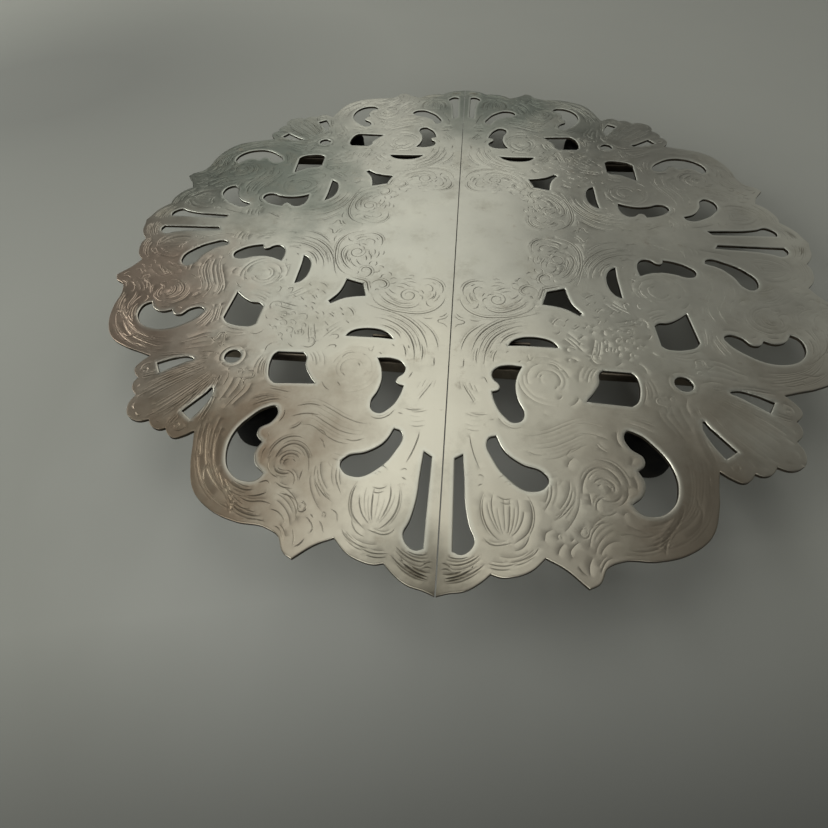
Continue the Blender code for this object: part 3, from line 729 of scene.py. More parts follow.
SHELL_BOLD = [
    [(61.2, 65.4), (64.4, 70.0), (68.5, 75.2), (72.6, 79.3)],
    [(66.4, 77.5), (67.1, 79.4), (67.7, 81.2)],
    [(60.2, 65.2), (60.4, 67.6)], [(59.9, 70.2), (59.6, 73.8), (60.2, 78.0), (60.6, 80.6)],
]
SHELL_FINE = [
    [(62.8, 80.4), (63.9, 82.2), (65.6, 82.4)], [(71.2, 80.4), (70.0, 80.4)],
    [(75.4, 78.8), (76.8, 79.0), (77.4, 78.2)], [(58.8, 62.6), (57.8, 65.8), (58.3, 69.4)],
    [(67.6, 78.8), (68.2, 80.8)], [(71.8, 77.4), (74.2, 79.4)],
    [(52.3, 68.8), (52.9, 66.2), (51.0, 65.4), (51.2, 63.8), (53.0, 63.4), (54.4, 62.2)],
    [(52.3, 68.8), (53.6, 66.6), (54.9, 65.4)],
]
FLOWER = [
    [(36.0, 41.1), (35.0, 41.8), (33.8, 42.9)], [(35.4, 40.6), (34.0, 41.6)],
    [(32.1, 40.8), (31.2, 41.9)], [(38.2, 40.5), (37.5, 41.2), (37.1, 42.3)],
    [(40.4, 40.6), (38.6, 41.8)], [(38.4, 43.9), (39.4, 42.6)],
    [(40.8, 45.8), (40.1, 49.2), (38.9, 52.8)], [(39.4, 45.0), (38.4, 48.8), (37.2, 52.4)],
    [(42.6, 46.8), (42.0, 49.8)], [(44.4, 48.4), (43.6, 50.2)], [(43.6, 48.4), (42.8, 49.4)],
    [(45.1, 49.8), (44.4, 51.5)], [(45.1, 53.2), (43.9, 54.2), (43.0, 54.6)],
    [(41.4, 53.9), (38.2, 54.0), (37.4, 52.6), (37.4, 51.2)],
    [(31.0, 38.2), (29.2, 39.8), (28.2, 42.0)], [(33.4, 38.4), (31.8, 40.0)],
    [(30.4, 43.6), (29.0, 44.9)], [(48.6, 53.0), (50.4, 54.6), (50.6, 57.2)],
    [(49.4, 58.6), (49.2, 62.4), (47.6, 66.4)], [(47.6, 51.4), (46.6, 52.6)],
    [(36.6, 44.4), (34.8, 46.2)], [(35.4, 47.0), (34.6, 48.4)],
]
# small lumps of the flower cluster, and beads elsewhere: (u, v, radius)
LUMPS = [(43.4, 43.4, 1.5), (42.6, 49.4, 1.2), (46.1, 48.6, 1.3), (45.4, 45.9, 0.8),
         (42.3, 46.5, 0.8), (39.0, 49.5, 1.0), (38.9, 52.1, 1.2), (48.2, 50.6, 0.8),
         (55.3, 63.9, 0.9), (29.8, 97.9, 0.8), (24.7, 99.3, 0.6), (65.6, 81.1, 0.8),
         (37.0, 88.3, 0.6)]
# a broad soft swelling runs beside each bold line: (lines, offset, width, height)
SWELLINGS = [(CENTRE_BOLD, 1.0, 1.8, 0.025), (SWEEP_BOLD, 1.2, 2.2, 0.028),
             (CURL_BOLD, 0.9, 1.3, 0.03), (ARM_BOLD, 1.0, 1.6, 0.025),
             (SHELL_BOLD, 1.5, 2.6, 0.045)]
# lines that flow together: (first line, last line, how many, width, depth)
FLOWS = [
    ([(52.6, 76.6), (53.6, 82.0), (53.0, 87.0), (50.4, 92.2), (46.0, 95.8), (40.6, 96.8)],
     [(57.0, 72.8), (57.6, 79.0), (56.2, 86.0), (52.8, 92.6), (47.6, 96.6), (39.0, 98.8)],
     5, 0.42, 0.045),
    ([(57.4, 72.4), (58.0, 79.0), (57.2, 86.0), (54.4, 92.4), (48.6, 97.6), (38.0, 100.2)],
     [(59.4, 76.0), (59.8, 81.0), (58.2, 87.4), (55.4, 93.6), (49.0, 99.4), (37.4, 102.0)],
     3, 0.38, 0.035),
    ([(49.8, 66.2), (50.4, 70.0), (52.6, 73.4), (54.6, 77.6)],
     [(57.2, 62.8), (56.8, 67.0), (57.4, 71.0), (58.6, 75.0)], 4, 0.4, 0.04),
    ([(60.0, 64.6), (59.7, 70.0), (60.0, 76.0), (61.4, 82.0)],
     [(62.0, 62.9), (67.0, 68.4), (73.0, 74.6), (78.2, 79.2)], 11, 0.42, 0.045),
    ([(13.4, 101.0), (10.8, 97.8), (9.4, 93.8), (10.2, 90.0)],
     [(14.0, 101.0), (17.2, 98.0), (18.4, 94.4), (17.6, 91.0)], 8, 0.4, 0.045),
    ([(1.0, 110.7), (5.2, 109.7), (8.0, 108.0), (10.2, 106.2)],
     [(0.9, 105.2), (3.6, 105.7), (6.6, 104.8), (9.2, 102.6)], 6, 0.5, 0.055),
    ([(1.0, 110.3), (4.6, 109.3), (7.8, 107.3)], [(1.0, 108.2), (3.8, 107.7), (6.4, 106.3)],
     3, 0.6, 0.10),
    ([(17.8, 83.4), (14.0, 85.6), (11.2, 87.6)], [(20.2, 87.8), (16.6, 88.8), (13.4, 89.8)],
     5, 0.42, 0.05),
    ([(22.6, 86.4), (22.4, 90.6), (20.6, 94.6)], [(25.8, 86.6), (25.2, 91.2), (22.6, 95.4)],
     3, 0.42, 0.045),
    ([(9.6, 89.8), (8.2, 94.2), (9.4, 99.2), (13.2, 102.8)],
     [(10.4, 89.6), (9.2, 94.0), (10.4, 98.6), (13.6, 101.6)], 2, 0.55, 0.06),
    ([(18.0, 89.8), (20.0, 94.4), (19.2, 98.8), (14.8, 102.9)],
     [(17.2, 89.6), (18.9, 94.2), (18.2, 98.2), (14.4, 101.7)], 2, 0.55, 0.06),
    ([(11.6, 106.4), (15.0, 106.1), (18.2, 104.8), (20.8, 102.4)],
     [(11.4, 103.4), (14.4, 103.7), (17.4, 102.6), (19.6, 100.2)], 3, 0.4, 0.045),
    ([(37.6, 71.0), (33.4, 70.2), (28.2, 72.0), (24.0, 74.2), (19.6, 75.6), (15.6, 75.0)],
     [(36.6, 79.2), (32.4, 79.0), (28.8, 81.2), (24.8, 83.0), (20.0, 82.6), (16.2, 80.4)],
     8, 0.4, 0.04),
    ([(27.6, 84.6), (27.2, 89.0), (25.2, 92.6), (21.4, 95.8)],
     [(29.8, 88.2), (29.6, 92.4), (27.6, 96.6), (24.4, 100.2)], 4, 0.4, 0.045),
    ([(24.4, 37.4), (18.8, 39.6), (13.4, 42.2), (9.4, 46.2), (7.4, 51.0), (6.6, 57.0)],
     [(22.6, 40.9), (18.2, 41.8), (14.2, 43.8), (11.2, 46.8), (9.4, 50.8), (8.6, 56.6)],
     3, 0.4, 0.045),
    ([(10.2, 70.4), (7.6, 71.0), (4.0, 70.0)], [(9.6, 76.4), (6.8, 76.8), (3.8, 76.0)],
     5, 0.38, 0.04),
    ([(8.8, 66.4), (7.8, 64.2), (6.8, 62.0)], [(3.4, 66.4), (2.8, 64.0), (2.4, 61.6)],
     4, 0.38, 0.035),
    ([(20.2, 31.0), (18.4, 33.0), (15.4, 33.9), (12.2, 33.2)],
     [(23.4, 33.4), (20.4, 36.4), (15.4, 38.4), (9.4, 38.2)], 3, 0.4, 0.05),
    ([(5.4, 35.6), (3.4, 32.6), (3.2, 29.4)], [(8.8, 33.2), (7.6, 31.4), (7.8, 29.0)],
     3, 0.38, 0.045),
    ([(39.8, 55.2), (37.6, 57.6), (36.2, 61.2)], [(35.4, 54.2), (33.4, 57.0), (32.6, 61.4)],
     4, 0.38, 0.035),
    ([(29.6, 45.6), (32.4, 48.6), (35.0, 52.0)], [(31.8, 42.6), (35.0, 46.0), (37.4, 50.0)],
     3, 0.38, 0.04),
    ([(35.6, 93.2), (32.8, 94.6), (30.4, 97.4), (29.6, 101.0)],
     [(38.4, 96.6), (35.0, 97.8), (32.2, 100.4), (30.8, 104.4)], 4, 0.4, 0.045),
    ([(47.6, 66.8), (43.0, 67.9), (38.4, 68.4)], [(48.4, 71.0), (44.0, 70.6), (39.4, 71.8)],
     4, 0.4, 0.045),
    ([(48.8, 57.4), (49.4, 61.4), (48.4, 65.6)], [(51.2, 57.2), (52.4, 60.6), (52.6, 64.4)],
     3, 0.38, 0.035),
    ([(26.0, 84.4), (22.8, 84.6), (19.6, 83.6)], [(27.0, 87.4), (25.8, 89.6), (24.2, 91.4)],
     3, 0.38, 0.035),
]


def ring(centre, radius, start, turn, end_radius=None):
    """Points of an arc or, with an end radius, of a spiral. Angles are in degrees."""
    end_radius = radius if end_radius is None else end_radius
    steps = max(6, int(abs(turn) / 25))
    points = []
    for step in range(steps + 1):
        share = step / steps
        reach = radius + (end_radius - radius) * share
        angle = math.radians(start + turn * share)
        points.append((centre[0] + reach * math.cos(angle),
                       centre[1] + reach * math.sin(angle)))
    return points


def beside(points, offset, start=0.12, end=0.88):
    """A shorter line that runs alongside another, offset to its left."""
    line = np.array(curve(points, 0.8))
    moved = line + offset * sideways(line)
    first, last = int(start * len(line)), int(end * len(line)) + 1
    return [tuple(point) for point in moved[first:last]]


def spread(line, count):
    """A polyline with this many points, evenly spaced along it."""
    line = np.array(line)
    along = np.concatenate([[0.0], np.cumsum(np.hypot(*np.diff(line, axis=0).T))])
    wanted = np.linspace(0.0, along[-1], count)
    return np.stack([np.interp(wanted, along, line[:, axis]) for axis in (0, 1)], 1)


def between(first, last, count):
    """Lines that change from the first to the last, with uneven ends like hand work."""
    first, last = (np.array(curve(line, 0.7)) for line in (first, last))
    points = max(len(first), len(last))
    first, last = spread(first, points), spread(last, points)
    lines = []
    for number in range(count):
        share = (number + 0.5 + 0.22 * math.sin(5.1 * number)) / count
        early = int(points * 0.16 * (0.5 + 0.5 * math.sin(2.3 * number)))
        late = points - int(points * 0.22 * (0.5 + 0.5 * math.sin(3.7 * number + 1.0)))
        lines.append((first + (last - first) * share)[early:late])
    return lines


def span(points):
    """How far apart the line's two ends are."""
    return math.hypot(points[-1][0] - points[0][0], points[-1][1] - points[0][1])


MEDALLION_AT = (25.6, 60.3)
ROSETTE_AT = (13.2, 32.2)
ROUND_HOLE = (ROUND_HOLE_AT, ROUND_HOLE_AT)
# arcs round the medallion: (radius, first angle, turn, width, depth)
MEDALLION_ARCS = [(2.0, 120, 200, 0.36, 0.025), (4.2, 252, 200, 0.36, 0.025),
                  (6.4, 384, 200, 0.36, 0.025)]
MEDALLION_RIMS = [(3.0, 150, 310, 0.4, 0.04), (5.4, 130, 250, 0.4, 0.035),
                  (7.7, 60, 130, 0.4, 0.035), (7.4, 215, 70, 0.4, 0.035)]


def build_relief():
    """Every stroke of the engraving. A groove has a width and a depth."""
    relief = Relief()
    for lines in (CENTRE_BOLD, SWEEP_BOLD, CURL_BOLD, ARM_BOLD, SHELL_BOLD):
        for line in lines:
            relief.groove(line, 0.52, 0.075)
            relief.groove(beside(line, 0.8), 0.36, 0.045)
            relief.groove(beside(line, -0.7, 0.3, 0.8), 0.36, 0.035)
    for lines in (CENTRE_FINE, SWEEP_FINE, FEATHER, MEDALLION, FAN, CURL_FINE, LEAF_POINT,
                  SMALL_SHELL, LOBE_EDGE, ARM_FINE, SHELL_FINE, FLOWER):
        for number, line in enumerate(lines):
            relief.groove(line, 0.42, 0.06)
            if number % 2 == 0 and span(line) > 4.0:
                relief.groove(beside(line, 0.65), 0.36, 0.035)
    for line in MEDALLION_FAINT:
        relief.groove(line, 0.4, 0.03)
    for first, last, count, width, depth in FLOWS:
        for number, line in enumerate(between(first, last, count)):
            relief.add(line, width, -depth * (1.0 - 0.25 * math.sin(4.3 * number)), TAPER)
    for radius, start, turn, width, depth in MEDALLION_ARCS:
        relief.groove(ring(MEDALLION_AT, radius, start, turn), width, depth)
    relief.groove(ring(ROSETTE_AT, 2.9, 200, 600, 0.8), 0.42, 0.06)
    for radius, start, turn, width, depth in MEDALLION_RIMS:
        relief.groove(ring(MEDALLION_AT, radius, start, turn), width, depth)
    relief.groove(ring(ROUND_HOLE, 3.6, 45, 180), 0.4, 0.04, 0.0)
    for u, v, radius in LUMPS:
        relief.groove(ring((u, v), radius, 100, 230), 0.36, 0.05)
        relief.groove(ring((u, v), 0.45 * radius, 280, 200), 0.3, 0.035)
    for lines, offset, width, height in SWELLINGS:
        for line in lines:
            relief.ridge(beside(line, offset, 0.0, 1.0), width, height)
    return relief


# ---- plate mesh -------------------------------------------------------------------------
class Cloud:
    """Points of a mesh, which can be kept apart from each other."""

    def __init__(self, cell):
        self.points, self.cells, self.cell = [], {}, cell

    def near(self, u, v, spacing):
        column, row = int(u // self.cell), int(v // self.cell)
        for i in (-1, 0, 1):
            for j in (-1, 0, 1):
                for index in self.cells.get((column + i, row + j), ()):
                    p, q = self.points[index]
                    if (u - p) ** 2 + (v - q) ** 2 < spacing ** 2:
                        return index
        return None

    def add(self, u, v, spacing=0.0):
        """The index of the new point, or of one that is already nearer than the spacing."""
        index = self.near(u, v, spacing) if spacing else None
        if index is None:
            index = len(self.points)
            self.points.append((u, v))
            self.cells.setdefault((int(u // self.cell), int(v // self.cell)), []).append(index)
        return index


def hexagon_points(step):
    """A triangular lattice over the wedge."""
    points = []
    for row in range(int(WEDGE_LENGTH / (step * ROW_RATIO)) + 1):
        v = (row + 0.5) * step * ROW_RATIO
        shift = 0.25 if row % 2 else 0.75
        points += [((i + shift) * step, v) for i in range(int(WEDGE_WIDTH / step) + 1)]
    return points


def start_cloud(wedge, cell):
    """A cloud that holds the wedge's loops, and the edges along them."""
    cloud, edges = Cloud(cell), []
    for loop in [wedge.loop] + wedge.holes:
        first = len(cloud.points)
        for u, v in loop:
            cloud.add(u, v)
        count = len(loop)
        edges += [(first + i, first + (i + 1) % count) for i in range(count)]
    return cloud, edges


def triangulate(wedge, cloud, edges):
    """Delaunay triangles over the cloud, along the given edges."""
    result = delaunay_2d_cdt([Vector(point) for point in cloud.points], edges, [], 0, 1e-5)
    points = np.array([tuple(point) for point in result[0]], float)
    triangles = np.array([tuple(face) for face in result[2]], int)
    centres = points[triangles].mean(1)
    triangles = triangles[wedge.contains(centres)]
    a, b, c = (points[triangles[:, i]] for i in range(3))
    turn = (b[:, 0] - a[:, 0]) * (c[:, 1] - a[:, 1]) - (b[:, 1] - a[:, 1]) * (c[:, 0] - a[:, 0])
    triangles = triangles[np.abs(turn) > 1e-7]
    turn = turn[np.abs(turn) > 1e-7]
    triangles[turn < 0] = triangles[turn < 0][:, ::-1]
    return points, triangles


def rim_profile(distance, width, drop):
    """How far a rounded edge lies below the face, this far in from the outline."""
    share = np.clip(1 - distance / width, 0.0, 1.0)
    return drop * (1 - np.sqrt(np.clip(1 - share ** 2, 0.0, 1.0)))


def inset_points(wedge, shares, width):
    """Rows of points alongside every real edge."""
    rows = []
    for line in wedge.real_edges:
        path = np.array(line)
        normal = sideways(path)
        for share in shares:
            for side in (-1, 1):
                rows.append(path + normal * side * share * width)
    return np.concatenate(rows)


def on_sheet(wedge, points, clearance):
    """Which points lie on the sheet, away from its edges and the wedge's borders."""
    from_diagonal = (points[:, 1] - points[:, 0]) / math.sqrt(2)
    keep = (points[:, 0] > BORDER_GAP) & (from_diagonal > BORDER_GAP) & wedge.contains(points)
    keep[keep] = wedge.edge_distance(points[keep]) > clearance
    return keep


def add_points(cloud, wedge, points, clearance, spacing):
    """Add those points that lie on the sheet, and not too near to each other."""
    points = np.asarray(points, float)
    for u, v in points[on_sheet(wedge, points, clearance)].tolist():
        cloud.add(u, v, spacing)


def add_strokes(cloud, edges, wedge, relief):
    """The relief's lines, as points and as edges of the mesh."""
    lines = relief.mesh_lines()
    keep = on_sheet(wedge, np.concatenate([line for line, _ in lines]), RIM_WIDTH + 0.12)
    start = 0
    for line, is_groove in lines:
        kept = keep[start:start + len(line)]
        start += len(line)
        spacing = GROOVE_SPACING if is_groove else RIDGE_SPACING
        previous = None
        for (u, v), stays in zip(line.tolist(), kept):
            index = cloud.add(u, v, spacing) if stays else None
            if is_groove and None not in (previous, index) and previous != index:
                edges.append((previous, index))
            previous = index


def top_wedge(wedge):
    """(points, heights, triangles, groove, worn_and_sheen) for the face of one eighth."""
    relief = build_relief()
    cloud, edges = start_cloud(wedge, 0.8)
    add_points(cloud, wedge, inset_points(wedge, (0.5, 1.0, 1.9), RIM_WIDTH), 0.07, 0.07)
    add_strokes(cloud, edges, wedge, relief)
    add_points(cloud, wedge, inset_points(wedge, (1.0, 1.6), LIP_AT), 0.5, 0.3)
    add_points(cloud, wedge, hexagon_points(FILL_STEP), 0.7, 0.55)
    points, triangles = triangulate(wedge, cloud, edges)
    from_edge = wedge.edge_distance(points)
    from_hole = wedge.edge_distance(points, holes_only=True)
    raised, sunk = relief.height(points)
    lip = LIP_HEIGHT * np.exp(-((from_hole - LIP_AT) / LIP_SPREAD) ** 2)
    heights = raised + lip - sunk
    heights -= np.maximum(rim_profile(from_edge, RIM_WIDTH, RIM_DROP),
                          rim_profile(from_hole, HOLE_RIM_WIDTH, HOLE_RIM_DROP))
    # the lighter band round the holes, for wear and a painted highlight
    worn_and_sheen = np.clip(1.0 - from_hole / WORN_AND_SHEEN_WIDTH, 0.0, 1.0)
    return points, PLATE_TOP + heights, triangles, sunk / GROOVE_FULL, worn_and_sheen


def under_wedge(wedge):
    """The same for the plain underside."""
    cloud, edges = start_cloud(wedge, 2.1)
    add_points(cloud, wedge, inset_points(wedge, (1.0,), UNDER_RIM_WIDTH), 0.1, 0.1)
    add_points(cloud, wedge, hexagon_points(UNDER_FILL_STEP), 2.0, 2.0)
    points, triangles = triangulate(wedge, cloud, edges)
    rim = rim_profile(wedge.edge_distance(points), UNDER_RIM_WIDTH, UNDER_RIM_DROP)
    nothing = np.zeros(len(points))
    return points, PLATE_UNDER + rim, triangles, nothing, nothing


def mirror_out(part, side):
    """Four mirrored copies of a wedge make one half of the sheet."""
    points, heights, triangles, sunk, worn_and_sheen = part
    diagonal = np.abs(points[:, 0] - points[:, 1]) < 1e-4
    points[diagonal] = points[diagonal].mean(1)[:, None]
    u, v = points.T
    copies = [((u, v), False), ((v, u), True), ((v, -u), False), ((u, -v), True)]
    coordinates, faces = [], []
    for index, ((x, y), flipped) in enumerate(copies):
        if side < 0:
            flipped = not flipped
        x = side * np.maximum(x, SEAM)
        coordinates.append(np.stack([x, y, heights, sunk, worn_and_sheen], 1))
        chosen = triangles[:, ::-1] if flipped else triangles
        faces.append(chosen + index * len(points))
    return np.concatenate(coordinates), np.concatenate(faces)


def unevenness(x, y):
    """Gentle swells of the worn sheet, in millimetres. They don't repeat like the pattern."""
    waves = ((0.31, 0.12, 0.4), (-0.17, 0.27, 1.9), (0.09, -0.37, 3.1), (0.42, 0.23, 5.0),
             (-0.25, -0.21, 2.2))
    total = sum(np.sin(a * x + b * y + phase + 1.3 * np.sin(0.05 * (x - y) + phase))
                for a, b, phase in waves)
    return UNEVEN * total / len(waves)


def wear(x, y):
    """The share of each groove's depth that is rubbed away at a place."""
    total = np.zeros(len(x))
    for centre, radius, share in WEAR:
        gap = np.hypot(x - centre[0], y - centre[1]) / radius
        total = np.maximum(total, share * np.exp(-gap ** 2))
    return total


def weld(coordinates, faces):
    """Join the copies' equal points, and drop the triangles that this flattens."""
    keys = np.round(coordinates * 2000).astype(np.int64)
    _, first, inverse = np.unique(keys, axis=0, return_index=True, return_inverse=True)
    faces = inverse.reshape(-1)[faces]
    real = ((faces[:, 0] != faces[:, 1]) & (faces[:, 1] != faces[:, 2])
            & (faces[:, 2] != faces[:, 0]))
    return coordinates[first], faces[real]


def boundary_edges(faces):
    """Directed edges that only one triangle uses."""
    directed = {}
    for a, b, c in faces.tolist():
        for pair in ((a, b), (b, c), (c, a)):
            directed[pair] = True
    return [pair for pair in directed if (pair[1], pair[0]) not in directed]


def meeting_key(point):
    """The same for a point of the top and the point of the underside below it."""
    return tuple(np.round(point[:2] * 500).astype(int))


def wall_faces(top_points, top_faces, under_points):
    """The cut walls: one face from each outer edge of the top down to the underside."""
    below = {meeting_key(point): index + len(top_points)
             for index, point in enumerate(under_points)}
    walls = []
    for a, b in boundary_edges(top_faces):
        pair = [below.get(meeting_key(top_points[i])) for i in (a, b)]
        if None in pair:
            raise ValueError("the sheet's two faces don't meet at %s" % top_points[a])
        walls.append((b, a, pair[0], pair[1]))
    return walls


def add_half_plate(name, side, body, top, under, materials):
    """One half of the sheet. materials are those of the face, the underside and the walls."""
    top_points, top_faces = weld(*mirror_out(top, side))
    rubbed = wear(top_points[:, 0], top_points[:, 1]) * top_points[:, 3]
    top_points[:, 2] += GROOVE_FULL * rubbed
    top_points[:, 3] -= rubbed
    top_points[:, 2] += unevenness(top_points[:, 0], top_points[:, 1])
    under_points, under_faces = weld(*mirror_out(under, side))
    walls = wall_faces(top_points, top_faces, under_points)
    faces = (top_faces.tolist() + (under_faces[:, ::-1] + len(top_points)).tolist() + walls)
    both = np.concatenate([top_points, under_points])
    mesh = bpy.data.meshes.new(name)
    mesh.from_pydata((both[:, :3] * MM).tolist(), [], faces)
    for column, attribute in ((3, "groove"), (4, "worn_and_sheen")):
        values = mesh.attributes.new(attribute, "FLOAT", "POINT")
        values.data.foreach_set("value", both[:, column])
    kinds = np.repeat([0, 1, 2], [len(top_faces), len(under_faces), len(walls)])
    mesh.polygons.foreach_set("material_index", kinds.astype(np.int32))
    mesh.shade_smooth()
    mesh.set_sharp_from_angle(angle=math.radians(CREASE))
    for material in materials:
        mesh.materials.append(material)
    mesh.validate()
    piece = link(name, mesh)
    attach(piece, body)
    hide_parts(name.replace("_engraved", ""))
    print(name, len(mesh.polygons), "faces")


# ---- rails and feet ---------------------------------------------------------------------
RAIL_Y = 52.0                            # the rails' middle lines, in front and behind
CHANNEL_ENDS = (1.0, 69.5)               # distances from the seam
STRAP_ENDS = (8.0, 22.0)
BAR_LENGTH = 132.0
BAR_HALF_WIDTH = 3.1
BAR_HALF_THICK = 0.72                    # without its rounded edges
BAR_EDGE = 0.18
BAR_HEIGHT = 14.8                        # of its middle
PIN_X = 62.0
PIN_HOLE_RADIUS = 1.2
FOOT_X = 51.2
FOOT_Y = 69.2
SLOT_END = 7.5                           # middle of the round end of a channel's slot
SLOT_HALF_WIDTH = 1.5
CHANNEL_THICKNESS = 0.6
STRAP_THICKNESS = 0.7
SHEET_EDGE = 0.08
PIECE_CREASE = 30.0
MERGE_WITHIN = 1e-7                      # metres

# sections of bent sheet: (across, height)
CHANNEL = [(3.0, 13.0), (4.0, 13.0), (4.0, 16.6), (-4.0, 16.6), (-4.0, 13.0), (-3.0, 13.0)]
STRAP = [(5.0, 16.6), (5.0, 12.0), (-5.0, 12.0), (-5.0, 16.6)]
# profiles of turned pieces: (radius, height)
FOOT = [(2.0, 14.5), (6.2, 14.5), (7.0, 13.7), (7.0, 1.0), (6.7, 0.3), (6.0, 0.0), (4.2, 0.0),
        (4.2, 5.0), (2.0, 5.0)]
BOSS = [(1.75, 16.6), (4.5, 16.6), (4.5, 15.2), (4.1, 14.8), (1.75, 14.8)]
WASHER = [(1.75, 4.7), (3.8, 4.7), (3.8, 4.1), (1.75, 4.1)]
SCREW = [(0.0, 16.4), (1.1, 16.4), (1.45, 16.0), (1.45, 3.8), (2.9, 3.8), (2.9, 2.7), (1.9, 2.0),
         (0.0, 1.9)]
PIN = [(0.0, 15.7), (0.9, 15.7), (0.9, 13.45), (1.2, 13.45), (1.2, 13.1), (0.7, 13.0),
       (0.0, 13.0)]
DRIVER_SLOT = (8.0, 0.8, 2.0)            # the box that cuts it: length, width, height
DRIVER_SLOT_AT = 1.8


def add_piece(name, body, bm, material, modifiers=()):
    """A finer piece that stands in for the CAD node of the same name."""
    piece = link_bmesh(name + "_fine", bm)
    piece.data.shade_smooth()
    piece.data.set_sharp_from_angle(angle=math.radians(PIECE_CREASE))
    piece.data.materials.append(material)
    for kind, settings in modifiers:
        modifier = piece.modifiers.new(kind.lower(), kind)
        for key, value in settings.items():
            setattr(modifier, key, value)
    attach(piece, body)
    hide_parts(name)


def soften(profile, radius, closed, steps=3):
    """Round the corners of a polyline. The ends of an open one stay as they are."""
    result = []
    count = len(profile)
    for index, here in enumerate(profile):
        if not closed and index in (0, count - 1):
            result.append(here)
            continue
        ends = []
        for other in (profile[index - 1], profile[(index + 1) % count]):
            length = math.dist(here, other)
            reach = min(radius, 0.45 * length) / length
            ends.append([h + (o - h) * reach for h, o in zip(here, other)])
        for step in range(steps + 1):
            s = step / steps
            result.append(tuple((1 - s) ** 2 * p + 2 * s * (1 - s) * h + s * s * q
                                for p, h, q in zip(ends[0], here, ends[1])))
    return result


def turned(profile, centre, bend, segments):
    """A turned body: (radius, height) corners, rounded and carried round an upright axis."""
    is_ring = profile[0][0] > 0.0
    bm = bmesh.new()
    rows = []
    for radius, z in soften(profile, bend, is_ring):
        angles = [math.tau * i / segments for i in range(segments if radius > 0.0 else 1)]
        rows.append([bm.verts.new(((centre[0] + radius * math.cos(angle)) * MM,
                                   (centre[1] + radius * math.sin(angle)) * MM, z * MM))
                     for angle in angles])
    for first, second in zip(rows, rows[1:] + (rows[:1] if is_ring else [])):
        for i in range(segments):
            corners = [row[step % len(row)] for row, step in
                       ((first, i), (first, i + 1), (second, i + 1), (second, i))]
            bm.faces.new(list(dict.fromkeys(corners)))       # three where a row is one point
    bmesh.ops.recalc_face_normals(bm, faces=bm.faces)
    return bm


def folded(section, x_low, x_high, floor=None):
    """A bent sheet along X: (y, z) points across it. floor fills the gap between its ends."""
    bm = bmesh.new()
    rows = [[bm.verts.new((x * MM, y * MM, z * MM)) for x in (x_low, x_high)]
            for y, z in section]
    faces = [bm.faces.new((a[0], a[1], b[1], b[0])) for a, b in zip(rows, rows[1:])]
    if floor:
        inner = [bm.verts.new((x * MM, y * MM, section[0][1] * MM)) for x, y in floor]
        faces.append(bm.faces.new([rows[0][0], rows[0][1]] + inner + [rows[-1][1], rows[-1][0]]))
    bmesh.ops.recalc_face_normals(bm, faces=faces)
    bm.normal_update()
    side = max(bm.faces, key=lambda face: face.calc_center_median().y)
    if side.normal.y < 0:
        bmesh.ops.reverse_faces(bm, faces=bm.faces)
    return bm


def sheet_metal(thickness):
    """Modifiers that thicken a bent sheet inwards and soften its edges."""
    solid = {"thickness": thickness * MM, "offset": -1.0, "use_even_offset": True}
    edge = {"width": SHEET_EDGE * MM, "segments": 2, "limit_method": "ANGLE",
            "angle_limit": math.radians(50), "harden_normals": True}
    return (("SOLIDIFY", solid), ("BEVEL", edge))


def add_channel(name, body, side, y, material):
    """A tube with rounded bends and a round-ended slot in its floor."""
    near, far = CHANNEL_ENDS
    section = [(y + across, z) for across, z in soften(CHANNEL, 0.9, False, 4)]
    slot = [(far, SLOT_HALF_WIDTH)]
    slot += [(SLOT_END + SLOT_HALF_WIDTH * math.cos(turn), SLOT_HALF_WIDTH * math.sin(turn))
             for turn in np.linspace(0.5 * math.pi, 1.5 * math.pi, 13)]
    slot += [(far, -SLOT_HALF_WIDTH)]
    floor = [(side * x, y + across) for x, across in slot]
    bm = folded(section, side * near, side * far, floor)
    add_piece(name, body, bm, material, sheet_metal(CHANNEL_THICKNESS))


def add_strap(name, body, side, y, material):
    """A folded strip round a channel."""
    near, far = STRAP_ENDS
    section = [(y + across, z) for across, z in soften(STRAP, 1.1, False, 5)]
    bm = folded(section, side * near, side * far)
    add_piece(name, body, bm, material, sheet_metal(STRAP_THICKNESS))


def add_bar(name, y, material):
    """A flat bar with softened edges and a hole for the pin at each end."""
    outline = bpy.data.curves.new(name + "_outline", "CURVE")
    outline.dimensions = "2D"
    outline.fill_mode = "BOTH"
    outline.extrude = BAR_HALF_THICK * MM
    outline.bevel_depth = BAR_EDGE * MM
    outline.bevel_resolution = 2
    outline.offset = -BAR_EDGE * MM
    end = BAR_LENGTH / 2
    corners = [(end, BAR_HALF_WIDTH), (-end, BAR_HALF_WIDTH), (-end, -BAR_HALF_WIDTH),
               (end, -BAR_HALF_WIDTH)]
    loops = [soften(corners, 1.4, True, 6)]
    loops += [ring((x, 0.0), PIN_HOLE_RADIUS, 0.0, 345.0) for x in (-PIN_X, PIN_X)]
    for loop in loops:
        spline = outline.splines.new("POLY")
        spline.points.add(len(loop) - 1)
        for point, (x, across) in zip(spline.points, loop):
            point.co = (x * MM, across * MM, 0.0, 1.0)
        spline.use_cyclic_u = True
    guide = link(name + "_outline", outline)
    guide.location = (0.0, y * MM, BAR_HEIGHT * MM)
    solid = evaluated_mesh(guide)
    solid.transform(guide.matrix_world)
    bm = bmesh.new()
    bm.from_mesh(solid)
    bmesh.ops.remove_doubles(bm, verts=bm.verts, dist=MERGE_WITHIN)
    bpy.data.objects.remove(guide, do_unlink=True)
    bpy.data.curves.remove(outline)
    bpy.data.meshes.remove(solid)
    add_piece(name + "_slide_bar", name + "_bar", bm, material)


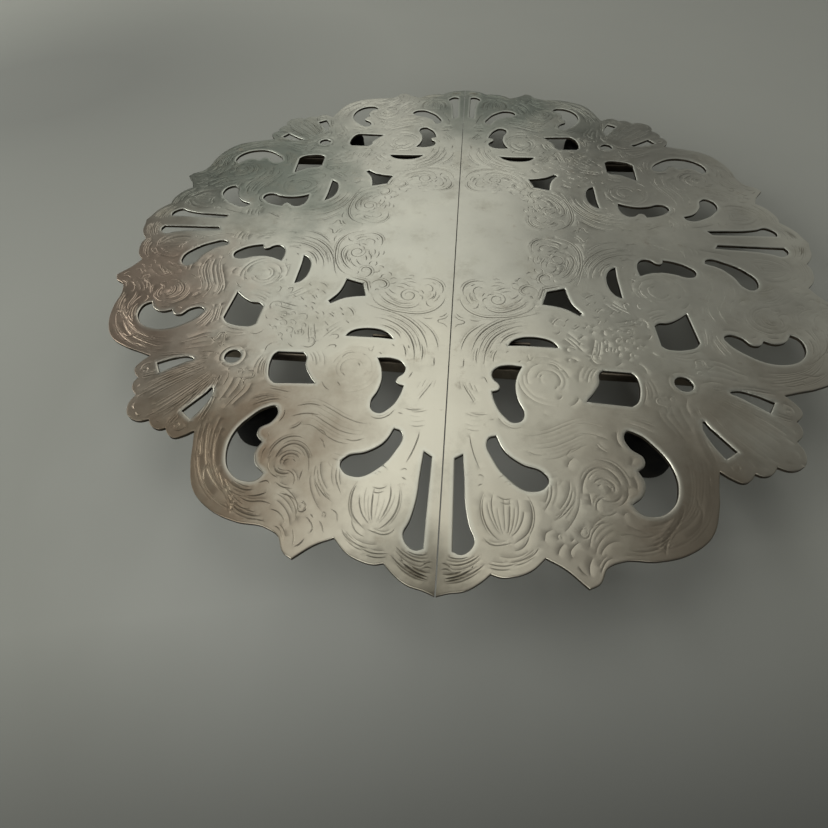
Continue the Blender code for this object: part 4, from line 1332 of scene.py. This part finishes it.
def cut_slot(bm, centre):
    """Cut the driver slot across the screw's head."""
    box = bmesh.new()
    bmesh.ops.create_cube(box, size=1.0)
    bmesh.ops.scale(box, vec=[size * MM for size in DRIVER_SLOT], verts=box.verts)
    bmesh.ops.translate(box, verts=box.verts,
                        vec=(centre[0] * MM, centre[1] * MM, DRIVER_SLOT_AT * MM))
    screw, cutter = link_bmesh("screw", bm), link_bmesh("cutter", box)
    modifier = screw.modifiers.new("slot", "BOOLEAN")
    modifier.object = cutter
    modifier.operation = "DIFFERENCE"
    modifier.solver = "EXACT"
    cut = evaluated_mesh(screw)
    made = bmesh.new()
    made.from_mesh(cut)
    for mesh in (screw.data, cutter.data, cut):
        bpy.data.meshes.remove(mesh)
    return made


def add_foot_set(corner, body, centre, rubber, steel, fastener):
    """A foot with the boss above it, and the washer and screw that hold it."""
    screw = cut_slot(turned(SCREW, centre, 0.5, 40), centre)
    for name, bm, material, slot_name in (
            ("_foot", turned(FOOT, centre, 0.5, 72), rubber, "foot_black"),
            ("_foot_boss", turned(BOSS, centre, 0.15, 48), steel, "channel_steel"),
            ("_foot_washer", turned(WASHER, centre, 0.2, 48), fastener, "fastener_steel"),
            ("_foot_screw", screw, fastener, "fastener_steel")):
        add_piece(corner + name, body, bm, material)


def add_slides_and_feet():
    # the channel pieces behind are darkened by painted shade
    brown = tarnished("channel_steel", (0.25, 0.215, 0.165), (0.13, 0.105, 0.078), 0.42,
                      (1.0, 14.0, 14.0), 0.85)
    steel = tarnished("bar_steel", (0.46, 0.45, 0.42), (0.30, 0.28, 0.24), 0.34,
                      (1.0, 14.0, 14.0))
    fastener = tarnished("fastener_steel", (0.40, 0.385, 0.35), (0.22, 0.19, 0.15), 0.38,
                         (1.0, 1.0, 1.0))
    rubber = black_rubber()
    for row, y in (("front", -RAIL_Y), ("rear", RAIL_Y)):
        add_bar(row, y, steel)
        for end, side in (("left", -1), ("right", 1)):
            name, body = "%s_%s" % (row, end), end + "_half"
            add_channel(name + "_channel", body, side, y, brown)
            add_strap(name + "_channel_strap", body, side, y, brown)
            pin = turned(PIN, (side * PIN_X, y), 0.15, 32)
            add_piece(name + "_stop_pin", row + "_bar", pin, steel)
            foot_at = (side * FOOT_X, math.copysign(FOOT_Y, y))
            add_foot_set(name, body, foot_at, rubber, brown, fastener)


# ---- floor ------------------------------------------------------------------------------
def add_floor():
    """The table top, six metres square."""
    bm = bmesh.new()
    bmesh.ops.create_grid(bm, x_segments=1, y_segments=1, size=3.0)
    floor = link_bmesh("floor", bm)
    floor.data.materials.append(floor_colour_and_painted_light())


def main():
    add_camera()
    add_lights()
    wedge = Wedge()
    top, under = top_wedge(wedge), under_wedge(wedge)
    materials = [silver_top(), silver_under(), silver_cut()]
    add_half_plate("left_plate_engraved", -1, "left_half", top, under, materials)
    add_half_plate("right_plate_engraved", 1, "right_half", top, under, materials)
    add_slides_and_feet()
    add_floor()


main()
